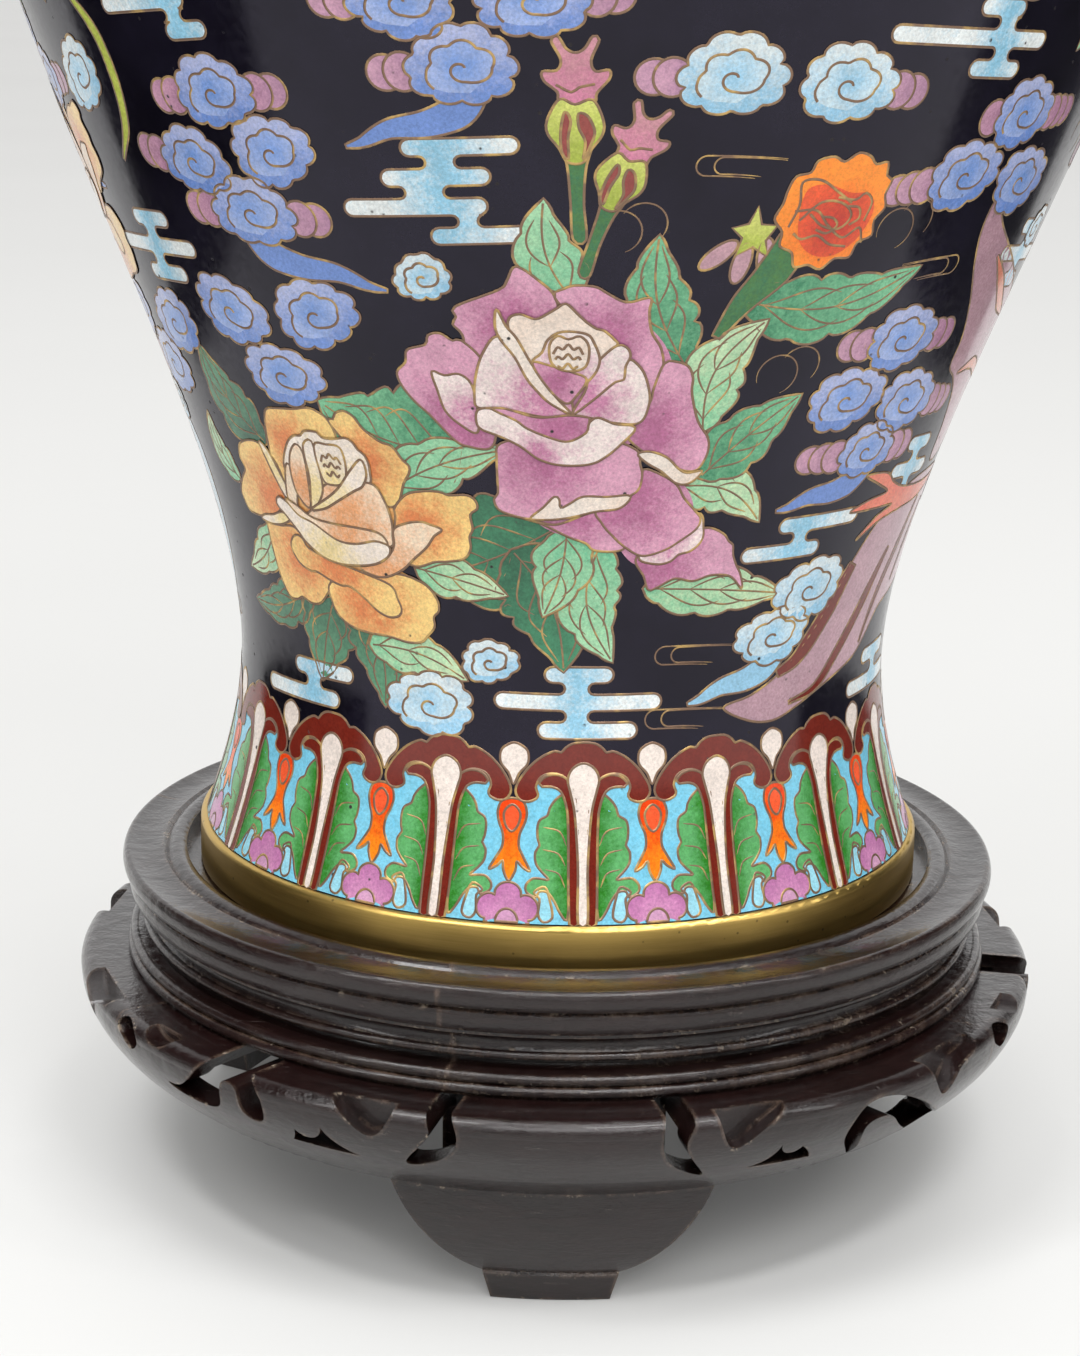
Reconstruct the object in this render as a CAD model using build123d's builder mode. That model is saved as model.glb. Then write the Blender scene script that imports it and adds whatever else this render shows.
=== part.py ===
from build123d import *
import math
import os

os.makedirs("parts", exist_ok=True)

# Enamelled copper vase standing loosely in a carved wooden stand.
# Millimetres, +Z up, origin on the floor under the common axis, -Y is the front.

# ---- driving dimensions -------------------------------------------------
stand_rim_z = 89.0          # top edge of the stand
seat_z = 85.0               # floor of the recess that carries the vase
recess_r = 104.0            # wall of the recess, 4 mm clear of the foot ring
rim_bottom_z = 77.0
frieze_bottom_z = 60.0
apron_bottom_z = 33.5
flange_bottom_z = 54.0      # underside of the flange inside the apron
panel_r = 92.8
panel_thick = 5.0
rim_joint_deg = -104.0      # first butt joint, measured from +X
rim_pieces = 4
feet = 3
foot_half_top = 41.0        # half width of a foot under the apron
foot_half_pad = 17.5        # half width of its pad
pad_height = 8.0
tenon_half = 28.0

ring_r = 100.0              # brass foot ring, outside
ring_in_r = 95.0
ring_top_z = 98.0
mouth_r = 82.0              # straight land inside the mouth rim
land_z = 684.4
land_high = 3.0
enamel = 1.0                # wall build-up, outside to inside
copper = 1.6
lining = 0.6

# The wall outline, radius and height, as cubic curves that meet smoothly.
wall = [
    [(98.2, 98.0), (93.5, 112.0), (88.3, 128.0), (88.3, 146.0)],
    [(88.3, 146.0), (88.3, 178.0), (106.8, 223.0), (124.8, 268.0)],
    [(124.8, 268.0), (148.8, 328.0), (171.5, 392.0), (171.5, 462.0)],
    [(171.5, 462.0), (171.5, 502.0), (132.0, 550.5), (104.0, 570.0)],
    [(104.0, 570.0), (83.0, 584.625), (60.0, 604.0), (60.0, 630.0)],
    [(60.0, 630.0), (60.0, 650.0), (68.0, 672.0), (84.0, 681.0)],
]


def outward(a, b):
    """Unit normal that points away from the axis, for a leg going from a to b."""
    dr = b[0] - a[0]
    dz = b[1] - a[1]
    size = math.hypot(dr, dz)
    return (dz / size, -dr / size)


def inset(curve, depth):
    """The same curve moved towards the axis by a wall depth."""
    normals = [outward(curve[i], curve[i + 1]) for i in range(3)]
    pairs = [
        (normals[0], normals[0]),
        (normals[0], normals[1]),
        (normals[1], normals[2]),
        (normals[2], normals[2]),
    ]
    moved = []
    for point, (first, second) in zip(curve, pairs):
        share = 1.0 + first[0] * second[0] + first[1] * second[1]
        step_r = depth * (first[0] + second[0]) / share
        step_z = depth * (first[1] + second[1]) / share
        moved.append((point[0] - step_r, point[1] - step_z))
    return moved


def shell_sketch(first, last, outer_depth, inner_depth):
    """Closed section of a wall layer that runs over the numbered curves."""
    outer = [inset(wall[i], outer_depth) for i in range(first, last + 1)]
    inner = [inset(wall[i], inner_depth) for i in range(first, last + 1)]
    with BuildSketch(Plane.XZ) as section:
        with BuildLine():
            for curve in outer:
                Bezier(*curve)
            for curve in inner:
                Bezier(*curve)
            Line(outer[0][0], inner[0][0])
            Line(outer[-1][3], inner[-1][3])
        make_face()
    return section.sketch


def half_plane(deg):
    """Upright plane through the axis; its x runs out along an angle from +X."""
    turn = math.radians(deg)
    return Plane(
        origin=(0.0, 0.0, 0.0),
        x_dir=(math.cos(turn), math.sin(turn), 0.0),
        z_dir=(math.sin(turn), -math.cos(turn), 0.0),
    )


def save(part, name):
    part.label = name
    export_step(part, f"parts/{name}.step")


# ---- vase walls ---------------------------------------------------------
copper_in = enamel + copper
lining_in = copper_in + lining
layers = [
    ("copper_lower_wall", 0, 1, enamel, copper_in),
    ("copper_belly_wall", 2, 2, enamel, copper_in),
    ("copper_shoulder_wall", 3, 3, enamel, copper_in),
    ("copper_neck_wall", 4, 4, enamel, copper_in),
    ("copper_mouth_wall", 5, 5, enamel, copper_in),
    ("enamel_border", 0, 0, 0.0, enamel),
    ("enamel_lower_body", 1, 1, 0.0, enamel),
    ("enamel_belly", 2, 2, 0.0, enamel),
    ("enamel_shoulder", 3, 3, 0.0, enamel),
    ("enamel_neck", 4, 5, 0.0, enamel),
    ("lining_body", 0, 3, copper_in, lining_in),
    ("lining_neck", 4, 5, copper_in, lining_in),
]

for name, first, last, outer_depth, inner_depth in layers:
    section = shell_sketch(first, last, outer_depth, inner_depth)
    with BuildPart() as layer:
        add(section)
        revolve(axis=Axis.Z)
        if first == 0:
            # the foot end is dressed flat where it is soldered to the ring
            split(bisect_by=Plane.XY.offset(ring_top_z), keep=Keep.TOP)
    save(layer.part, name)

# ---- brass foot ring ----------------------------------------------------
with BuildPart() as foot_ring:
    with BuildSketch(Plane.XZ):
        with BuildLine():
            Polyline(
                (ring_r, ring_top_z - 1.6),
                (ring_r, seat_z + 0.8),
                (ring_r - 0.8, seat_z),
                (ring_in_r + 0.5, seat_z),
                (ring_in_r, seat_z + 0.5),
                (ring_in_r, ring_top_z),
                (ring_r - 1.4, ring_top_z),
            )
            ThreePointArc(
                (ring_r - 1.4, ring_top_z),
                (ring_r - 0.4, ring_top_z - 0.5),
                (ring_r, ring_top_z - 1.6),
            )
        make_face()
    revolve(axis=Axis.Z)
save(foot_ring.part, "brass_foot_ring")

with BuildPart() as base_plate:
    with BuildSketch(Plane.XY.offset(91.5)):
        Circle(ring_in_r)
    extrude(amount=1.5)
save(base_plate.part, "copper_base_plate")

with BuildPart() as base_enamel:
    with BuildSketch(Plane.XY.offset(90.7)):
        Circle(ring_in_r)
    extrude(amount=0.8)
save(base_enamel.part, "base_counter_enamel")

# ---- brass mouth rim, rolled over the end of the wall --------------------
wall_end = wall[-1][3]
wall_end_in = inset(wall[-1], lining_in)[3]
with BuildPart() as mouth_rim:
    with BuildSketch(Plane.XZ):
        with BuildLine():
            Polyline(wall_end, wall_end_in, (mouth_r, land_z), (mouth_r, land_z + land_high))
            ThreePointArc(
                (mouth_r, land_z + land_high),
                (mouth_r + 1.8, land_z + land_high + 1.6),
                (mouth_r + 3.8, land_z + land_high),
            )
            ThreePointArc(
                (mouth_r + 3.8, land_z + land_high),
                (mouth_r + 4.4, 684.4),
                (mouth_r + 3.6, 681.2),
            )
            Line((mouth_r + 3.6, 681.2), wall_end)
        make_face()
    revolve(axis=Axis.Z)
save(mouth_rim.part, "brass_mouth_rim")

# ---- stand rim: moulded ring in butt-jointed pieces ----------------------
rim_sweep = 360.0 / rim_pieces
for number in range(rim_pieces):
    start = rim_joint_deg + number * rim_sweep
    with BuildPart() as rim_piece:
        with BuildSketch(half_plane(start)):
            with BuildLine():
                Polyline(
                    (104.0, 88.6),
                    (recess_r, seat_z),
                    (93.0, seat_z),
                    (93.0, seat_z - panel_thick),
                    (90.0, seat_z - panel_thick),
                    (90.0, rim_bottom_z),
                    (118.8, rim_bottom_z),
                )
                ThreePointArc((118.8, rim_bottom_z), (119.9, 79.6), (119.6, 82.2))
                Polyline((119.6, 82.2), (118.9, 82.8), (120.6, 83.6))
                ThreePointArc((120.6, 83.6), (121.6, 86.0), (121.2, 88.2))
                ThreePointArc((121.2, 88.2), (120.6, 88.9), (119.6, stand_rim_z))
                ThreePointArc((119.6, stand_rim_z), (114.8, 88.3), (110.4, 88.7))
                Polyline((110.4, 88.7), (109.4, 88.0), (108.6, 88.8))
                ThreePointArc((108.6, 88.8), (106.4, 89.6), (104.0, 88.6))
            make_face()
        revolve(axis=Axis.Z, revolution_arc=rim_sweep)
    save(rim_piece.part, f"stand_rim_{number + 1}")

with BuildPart() as seat_panel:
    with BuildSketch(Plane.XY.offset(seat_z - panel_thick)):
        Circle(panel_r)
    extrude(amount=panel_thick)
    chamfer(seat_panel.edges().group_by(Axis.Z)[-1], 0.8)
save(seat_panel.part, "stand_seat_panel")

# ---- frieze: coves and beads under the rim -------------------------------
for number in range(rim_pieces):
    start = rim_joint_deg + 1.0 + number * rim_sweep
    with BuildPart() as frieze_piece:
        with BuildSketch(half_plane(start)):
            with BuildLine():
                Polyline(
                    (119.0, frieze_bottom_z),
                    (105.0, frieze_bottom_z),
                    (105.0, rim_bottom_z),
                    (117.4, rim_bottom_z),
                    (117.4, 75.6),
                    (116.2, 75.2),
                )
                ThreePointArc((116.2, 75.2), (113.9, 73.4), (114.6, 70.9))
                ThreePointArc((114.6, 70.9), (116.4, 70.0), (115.0, 68.9))
                ThreePointArc((115.0, 68.9), (112.2, 67.6), (114.6, 66.2))
                Line((114.6, 66.2), (117.6, 66.2))
                ThreePointArc((117.6, 66.2), (119.8, 64.9), (118.2, 63.4))
                Line((118.2, 63.4), (118.2, 63.0))
                ThreePointArc((118.2, 63.0), (120.5, 62.0), (119.4, 60.6))
                Line((119.4, 60.6), (119.0, frieze_bottom_z))
            make_face()
        revolve(axis=Axis.Z, revolution_arc=rim_sweep)
    save(frieze_piece.part, f"stand_frieze_{number + 1}")


# ---- apron: bulging skirt, pierced and carved by hand --------------------
def facing(deg):
    """Upright plane outside the apron that looks outwards at an angle from the foot."""
    turn = math.radians(deg)
    spot = (150.0 * math.sin(turn), -150.0 * math.cos(turn), 0.0)
    return Plane(
        origin=spot,
        x_dir=(math.cos(turn), math.sin(turn), 0.0),
        z_dir=(math.sin(turn), -math.cos(turn), 0.0),
    )


# Each carving: angle from the foot, how far in the cut ends (radius), and its outline
# as (across, height) in that plane; the two sides of a foot are not quite alike.
through = 100.0
curved_carvings = [
    # crescent slots beside the foot
    (14.0, through, [(-1.0, 64.0), (-5.4, 58.0), (-5.2, 51.0), (0.0, 45.0), (6.0, 42.4),
                     (2.6, 48.0), (0.4, 54.0), (2.4, 60.0)]),
    (-14.0, through, [(1.0, 65.0), (6.6, 60.0), (8.6, 54.0), (5.4, 48.6), (-5.0, 45.2),
                      (-1.4, 50.6), (1.6, 55.0), (0.4, 60.0)]),
    # scooped drops
    (21.5, 128.6, [(-10.0, 66.0), (-8.4, 57.6), (-4.6, 50.8), (2.0, 54.4), (9.6, 60.0),
                   (13.0, 66.0)]),
    (-21.5, 128.6, [(10.0, 66.0), (9.0, 58.4), (3.6, 52.2), (-2.6, 55.6), (-8.0, 60.4),
                    (-13.0, 66.0)]),
    # hooked openings round a curl
    (43.0, through, [(27.0, 37.2), (14.0, 45.4), (2.0, 52.6), (-8.0, 56.2), (-17.6, 54.6),
                     (-20.6, 48.6), (-16.0, 41.4), (-9.0, 36.6), (-12.0, 42.0), (-14.0, 49.4),
                     (-8.0, 50.4), (-1.0, 45.6), (8.0, 39.6), (17.0, 35.6)]),
    (-40.0, through, [(-19.0, 49.2), (-11.0, 53.0), (-4.4, 59.6), (2.0, 62.0), (10.0, 60.0),
                      (15.6, 54.0), (14.4, 48.6), (9.0, 49.2), (6.4, 56.4), (2.6, 56.8),
                      (0.6, 49.6)]),
    # scoops and slots where two patterns meet
    (51.0, 127.6, [(-13.0, 66.0), (-11.4, 60.0), (-2.0, 49.8), (3.0, 55.6), (12.0, 59.0),
                   (12.0, 66.0)]),
    (-51.0, 127.6, [(-12.0, 66.0), (-8.0, 61.0), (-1.0, 57.4), (6.0, 60.4), (9.0, 66.0)]),
    (-57.0, through, [(-6.0, 57.6), (1.0, 59.0), (5.4, 55.4), (2.0, 52.6), (-3.0, 54.0)]),
]
# Winged slots along the lower edge: tips with a hollow arc between each two.
winged_carvings = [
    (26.0, [(-10.0, 43.0), (-4.6, 44.8), (-1.4, 49.6), (2.2, 46.0), (5.0, 47.6),
            (7.4, 45.4), (9.4, 42.4)]),
    (-26.0, [(9.6, 44.6), (4.4, 47.4), (0.4, 51.6), (-3.0, 47.6), (-7.6, 49.2),
             (-8.2, 47.0), (-9.2, 45.2)]),
]

apron_sweep = 360.0 / feet
for number in range(feet):
    middle = number * apron_sweep
    with BuildPart() as apron_piece:
        with BuildSketch(half_plane(middle - 90.0 - apron_sweep / 2.0)):
            with BuildLine():
                Polyline(
                    (116.4, apron_bottom_z),
                    (110.6, apron_bottom_z),
                    (110.6, 36.0),
                )
                Spline(
                    (110.6, 36.0),
                    (118.4, 42.6),
                    (123.4, 49.0),
                    (124.6, flange_bottom_z),
                )
                Polyline(
                    (124.6, flange_bottom_z),
                    (108.0, flange_bottom_z),
                    (108.0, frieze_bottom_z),
                    (129.6, frieze_bottom_z),
                )
                ThreePointArc((129.6, frieze_bottom_z), (132.7, 58.8), (133.6, 55.4))
                Spline(
                    (133.6, 55.4),
                    (131.8, 48.4),
                    (126.8, 41.4),
                    (118.4, 34.6),
                    tangents=((0.0, -1.0), (-1.0, -0.75)),
                )
                ThreePointArc((118.4, 34.6), (117.5, 33.82), (116.4, apron_bottom_z))
            make_face()
        revolve(axis=Axis.Z, revolution_arc=apron_sweep)
        for deg, stop_r, outline in curved_carvings:
            with BuildSketch(facing(middle + deg)):
                with BuildLine():
                    Spline(*outline, periodic=True)
                make_face()
            extrude(amount=-(150.0 - stop_r), mode=Mode.SUBTRACT)
        for deg, outline in winged_carvings:
            with BuildSketch(facing(middle + deg)):
                with BuildLine():
                    for i in range(0, len(outline) - 1, 2):
                        ThreePointArc(outline[i], outline[i + 1], outline[i + 2])
                    Line(outline[-1], outline[0])
                make_face()
            extrude(amount=-(150.0 - through), mode=Mode.SUBTRACT)
    save(apron_piece.part, f"stand_apron_{number + 1}")

# ---- feet: bowl-shaped brackets on small pads, tenoned behind the apron ---
for number in range(feet):
    middle = number * apron_sweep
    with BuildPart() as foot:
        with BuildSketch(half_plane(middle - 90.0 - 25.0)):
            with BuildLine():
                Polyline(
                    (116.8, apron_bottom_z),
                    (110.0, apron_bottom_z),
                    (109.0, 36.0),
                    (113.0, flange_bottom_z),
                    (101.0, flange_bottom_z),
                    (101.0, 20.0),
                    (98.0, 10.0),
                    (98.0, 0.0),
                    (108.0, 0.0),
                    (109.6, pad_height - 0.6),
                    (109.0, pad_height),
                )
                Spline(
                    (109.0, pad_height),
                    (114.2, 16.0),
                    (116.6, 25.0),
                    (116.8, apron_bottom_z),
                    tangents=((1.0, 1.0), (0.0, 1.0)),
                )
            make_face()
        revolve(axis=Axis.Z, revolution_arc=50.0)
        with BuildSketch(facing(middle)):
            with BuildLine():
                Polyline(
                    (foot_half_pad, pad_height),
                    (foot_half_pad - 2.2, 0.0),
                    (2.2 - foot_half_pad, 0.0),
                    (-foot_half_pad, pad_height),
                )
                ThreePointArc(
                    (-foot_half_pad, pad_height),
                    (-32.6, 20.0),
                    (-foot_half_top, apron_bottom_z),
                )
                Polyline(
                    (-foot_half_top, apron_bottom_z),
                    (-tenon_half, apron_bottom_z),
                    (-tenon_half, flange_bottom_z),
                    (tenon_half, flange_bottom_z),
                    (tenon_half, apron_bottom_z),
                    (foot_half_top, apron_bottom_z),
                )
                ThreePointArc(
                    (foot_half_top, apron_bottom_z),
                    (32.6, 20.0),
                    (foot_half_pad, pad_height),
                )
            make_face()
        extrude(amount=-60.0, mode=Mode.INTERSECT)
    save(foot.part, f"stand_foot_{number + 1}")
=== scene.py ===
"""Looks of an enamelled vase on its wooden stand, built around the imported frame."""
import math
import random

import bpy
import numpy as np
from mathutils import Matrix, Vector
from mathutils.geometry import delaunay_2d_cdt


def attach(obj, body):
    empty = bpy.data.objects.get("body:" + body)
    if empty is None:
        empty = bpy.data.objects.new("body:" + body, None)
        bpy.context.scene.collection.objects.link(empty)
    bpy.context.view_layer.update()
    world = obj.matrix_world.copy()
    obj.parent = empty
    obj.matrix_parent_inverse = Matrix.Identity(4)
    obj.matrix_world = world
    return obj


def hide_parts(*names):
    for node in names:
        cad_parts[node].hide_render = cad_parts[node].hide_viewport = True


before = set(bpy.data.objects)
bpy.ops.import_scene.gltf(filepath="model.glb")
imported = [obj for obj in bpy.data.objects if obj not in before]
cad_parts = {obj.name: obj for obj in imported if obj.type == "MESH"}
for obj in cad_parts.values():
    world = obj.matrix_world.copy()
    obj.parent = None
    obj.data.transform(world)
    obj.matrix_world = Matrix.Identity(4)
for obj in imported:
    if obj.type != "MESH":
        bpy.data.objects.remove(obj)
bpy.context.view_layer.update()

MM = 0.001
ENAMEL_THICK = 1.0          # mm
CELL_LIFT = 0.03            # mm from the ground to the lowest enamel cell
LEVEL_STEP = 0.022          # mm between enamel cells that overlap
WIRE_WIDTH = 0.66           # mm, round a cell
VEIN_WIDTH = 0.5            # mm, on a leaf
ARCH_VEIN_WIDTH = 0.4       # mm, on a frond of the borders
LOOP_WIDTH = 0.42           # mm, bare loops on the ground
WIRE_SIDE = 0.004           # mm from a cell to the sides of a wire
WIRE_RIDGE = 0.016          # mm from a cell to the middle of a wire
MIST_BAR = 4.3              # mm, height of one bar of a mist bank
MIST_PITCH = 7.4            # mm from one bar to the next
HAIRPIN_LENGTH = 19.0       # mm
RING_SIZE = 5.4             # mm, radius of a bare wire arc
GROUND_COLUMNS = 240
GRID = 3.0                  # mm between inner points of a cell
STEP = 1.0                  # mm between points of an outline
RING_Z = 98.0               # heights in mm where one enamel skin ends and the next begins
BORDER_TOP_Z = 146.0
BODY_TOP_Z = 268.0
CROWN_Z = 462.0
NECK_Z = 570.0
MOUTH_Z = 681.0
BORDER_R = 93.4             # mean radius of the foot border
MODULES = 16                # arches round the foot border
MODULE_TURN = math.radians(3.6)


# ---- colours ------------------------------------------------------------
def rgb(code):
    """Linear colour from a six-digit code."""
    out = []
    for i in (0, 2, 4):
        c = int(code[i:i + 2], 16) / 255.0
        out.append(c / 12.92 if c <= 0.04045 else ((c + 0.055) / 1.055) ** 2.4)
    return tuple(out)


PERI = ("b0b7da", "6c8bcb")
PERI_IN = ("7496d4", "a0b1dc")
PALE = ("d6e0e2", "93c4e0")
PALE_IN = ("9ccae4", "c9dce4")
MIST = ("90c5de", "e6ebea")
CAP = ("c596ac", "a97c98")
MINT = ("69b68c", "a3d4a8")
LIGHT = ("7cc396", "c3ddb2")
EMERALD = ("2f7d58", "79bd90")
DARK = ("235a40", "3f8560")
DARKEST = ("1f4d3a", "568f6c")
OLIVE = ("4f7d38", "2f7050")
PINK = ("b2678e", "d9a0b8")
PINK_PALE = ("c882a4", "efe0da")
CREAM = ("efe2d6", "ecd8c8")
PEACH = ("dc7f45", "f4ce80")
PEACH_PALE = ("e6a06a", "f3dcc0")
CREAM_WARM = ("f0d89a", "f1e3d6")
FLAME = ("f4701c", "ff922c")
EMBER = ("c23422", "ec5a2c")
LIME = ("a9b845", "d0d470")
MAROON = ("6a1f15", "76281c")
MAUVE = ("ad8894", "c39fa8")
IVORY = ("ecdfd6", "e2d4ca")
SKY = ("6fbfdc", "86cbe2")
BORDER_GREEN = ("2f7a24", "62ab6a")
PENDANT = ("ea4614", "fb8a1e")
ROSY = ("cf8fb8", "b874a4")


# ---- the wall: radius and height in mm along its length -------------------
WALL = [
    [(98.2, 98.0), (93.5, 112.0), (88.3, 128.0), (88.3, 146.0)],
    [(88.3, 146.0), (88.3, 178.0), (106.8, 223.0), (124.8, 268.0)],
    [(124.8, 268.0), (148.8, 328.0), (171.5, 392.0), (171.5, 462.0)],
    [(171.5, 462.0), (171.5, 502.0), (132.0, 550.5), (104.0, 570.0)],
    [(104.0, 570.0), (83.0, 584.625), (60.0, 604.0), (60.0, 630.0)],
    [(60.0, 630.0), (60.0, 650.0), (68.0, 672.0), (84.0, 681.0)],
]


def wall_samples(per_curve=80):
    rows = []
    for curve in WALL:
        p = np.array(curve)
        t = np.linspace(0.0, 1.0, per_curve, endpoint=False)[:, None]
        rows.append((1 - t) ** 3 * p[0] + 3 * t * (1 - t) ** 2 * p[1]
                    + 3 * t * t * (1 - t) * p[2] + t ** 3 * p[3])
    rows.append(np.array([WALL[-1][3]]))
    return np.concatenate(rows)


PROFILE = wall_samples()
ALONG = np.concatenate([[0.0], np.cumsum(np.hypot(*np.diff(PROFILE, axis=0).T))])
SLOPE = np.gradient(PROFILE, ALONG, axis=0)


def r_at(s):
    return np.interp(s, ALONG, PROFILE[:, 0])


def s_of(z):
    return np.interp(z, PROFILE[:, 1], ALONG)


def on_wall(theta, s, lift):
    """Positions in metres and outward normals for points on the wall."""
    theta = np.asarray(theta, float)
    dr = np.interp(s, ALONG, SLOPE[:, 0])
    dz = np.interp(s, ALONG, SLOPE[:, 1])
    size = np.hypot(dr, dz)
    nr = dz / size
    nz = -dr / size
    r = np.interp(s, ALONG, PROFILE[:, 0]) + lift * nr
    z = np.interp(s, ALONG, PROFILE[:, 1]) + lift * nz
    co = np.stack([r * np.sin(theta), -r * np.cos(theta), z], -1) * MM
    no = np.stack([nr * np.sin(theta), -nr * np.cos(theta), nz], -1)
    return co, no


# ---- collectors ---------------------------------------------------------
class Sheet:
    """Vertices and faces that end up in one mesh."""

    def __init__(self):
        self.co, self.no, self.faces, self.tints = [], [], [], []
        self.count = 0

    def add(self, co, no, faces, tints=None):
        self.co.append(co)
        self.no.append(no)
        self.faces.append(np.asarray(faces, int) + self.count)
        if tints is not None:
            self.tints.append(tints)
        self.count += len(co)


cell_sheets = {}
wire_sheets = {}
BANDS = (("lower", BORDER_TOP_Z), ("waist", 205.0), ("body", BODY_TOP_Z), ("belly", 365.0),
         ("crown", CROWN_Z), ("shoulder", 520.0), ("neck", NECK_Z))


def sheet_name(theta, s):
    z = np.interp(s, ALONG, PROFILE[:, 1])
    sector = int((math.degrees(theta) + 30.0) % 360.0 // 60.0)
    if z < BORDER_TOP_Z:
        return f"border_{sector + 1}"
    band = [name for name, low in BANDS if z >= low][-1]
    if band in ("neck", "shoulder"):
        sector = sector // 2
    return f"{band}_{sector + 1}"


class Spot:
    """A place on the wall with a scale, a turn and a side; motifs are drawn in mm round it."""

    def __init__(self, theta, s, size=1.0, turn=0.0, side=1.0, level=0):
        self.theta, self.s = theta, float(s)
        self.size, self.turn, self.side, self.level = size, turn, side, level
        self.r = float(r_at(s))

    def child(self, deg, z, size=1.0, turn=0.0, side=1.0, level=0):
        """A place given by angle and height as they would be on the front of the lower body."""
        du = math.radians(deg) * REF_R * self.size * self.side
        dv = (s_of(z) - REF_S) * self.size
        return Spot(self.theta + du / self.r, self.s + dv, self.size * size,
                    turn * self.side, self.side * side, self.level + level)

    def chart(self, points):
        p = np.asarray(points, float) * self.size
        x = p[:, 0] * self.side
        y = p[:, 1]
        c, d = math.cos(self.turn), math.sin(self.turn)
        return self.theta + (x * c - y * d) / self.r, self.s + x * d + y * c


REF_S = s_of(238.0)
REF_R = float(r_at(REF_S))
FRONT = Spot(0.0, REF_S)


# ---- outlines -----------------------------------------------------------
def smooth(points, closed=True, step=STEP, size=1.0):
    """Points along a Catmull-Rom curve through the given ones, evenly close together."""
    p = np.asarray(points, float)
    if closed:
        q = np.vstack([p[-1], p, p[0], p[1]])
    else:
        q = np.vstack([2 * p[0] - p[1], p, 2 * p[-1] - p[-2]])
    out = []
    for i in range(1, len(q) - 2):
        a, b, c, d = q[i - 1], q[i], q[i + 1], q[i + 2]
        n = max(1, int(round(np.hypot(*(c - b)) * size / step)))
        t = (np.arange(n) / n)[:, None]
        out.append(0.5 * (2 * b + (c - a) * t + (2 * a - 5 * b + 4 * c - d) * t ** 2
                          + (3 * b - a - 3 * c + d) * t ** 3))
    if not closed:
        out.append(p[-1:])
    return np.concatenate(out)


def inside(points, outline):
    x, y = points[:, 0][:, None], points[:, 1][:, None]
    a, b = outline, np.roll(outline, -1, axis=0)
    cross = (a[:, 1] > y) != (b[:, 1] > y)
    with np.errstate(divide="ignore", invalid="ignore"):
        at = (b[:, 0] - a[:, 0]) * (y - a[:, 1]) / (b[:, 1] - a[:, 1]) + a[:, 0]
    return (cross & (x < at)).sum(1) % 2 == 1


def triangles(outline, grid):
    """Triangles over a closed outline, with inner points so that they follow the wall."""
    area = np.sum(outline[:, 0] * np.roll(outline[:, 1], -1)
                  - outline[:, 1] * np.roll(outline[:, 0], -1))
    if area < 0:
        outline = outline[::-1]
    low, high = outline.min(0), outline.max(0)
    xs = np.arange(low[0] + grid * 0.5, high[0], grid)
    ys = np.arange(low[1] + grid * 0.5, high[1], grid * 0.87)
    pts = outline
    if len(xs) and len(ys):
        gx, gy = np.meshgrid(xs, ys)
        gx = gx + (np.arange(len(ys)) % 2)[:, None] * grid * 0.5
        cand = np.stack([gx.ravel(), gy.ravel()], -1)
        cand = cand[inside(cand, outline)]
        if len(cand):
            gap = np.min(np.hypot(cand[:, None, 0] - outline[None, :, 0],
                                  cand[:, None, 1] - outline[None, :, 1]), axis=1)
            pts = np.vstack([outline, cand[gap > grid * 0.35]])
    found = delaunay_2d_cdt([Vector(p) for p in pts], [], [list(range(len(outline)))], 1, 1e-6)
    return np.array([tuple(v) for v in found[0]]), np.array(found[2], int).reshape(-1, 3)


def cell(spot, outline, tint, level=0, blend=None, edge=True):
    """One enamel cell with a wire round it. blend gives 0 to 1 between its two colours."""
    outline = np.asarray(outline, float)
    pts, tri = triangles(outline, GRID / spot.size)
    if not len(tri):
        return
    theta, s = spot.chart(pts)
    lift = CELL_LIFT + (spot.level + level) * LEVEL_STEP
    co, no = on_wall(theta, s, lift)
    if spot.side < 0:
        tri = tri[:, ::-1]
    mix = np.full(len(pts), 0.5) if blend is None else np.clip(blend(pts), 0.0, 1.0)
    tints = np.zeros((len(pts), 7))
    tints[:, 0:3] = rgb(tint[0])
    tints[:, 3:6] = rgb(tint[1])
    tints[:, 6] = mix
    key = sheet_name(spot.theta, spot.s)
    cell_sheets.setdefault(key, Sheet()).add(co, no, tri, tints)
    if edge:
        wire(spot, outline, level, closed=True)


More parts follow.
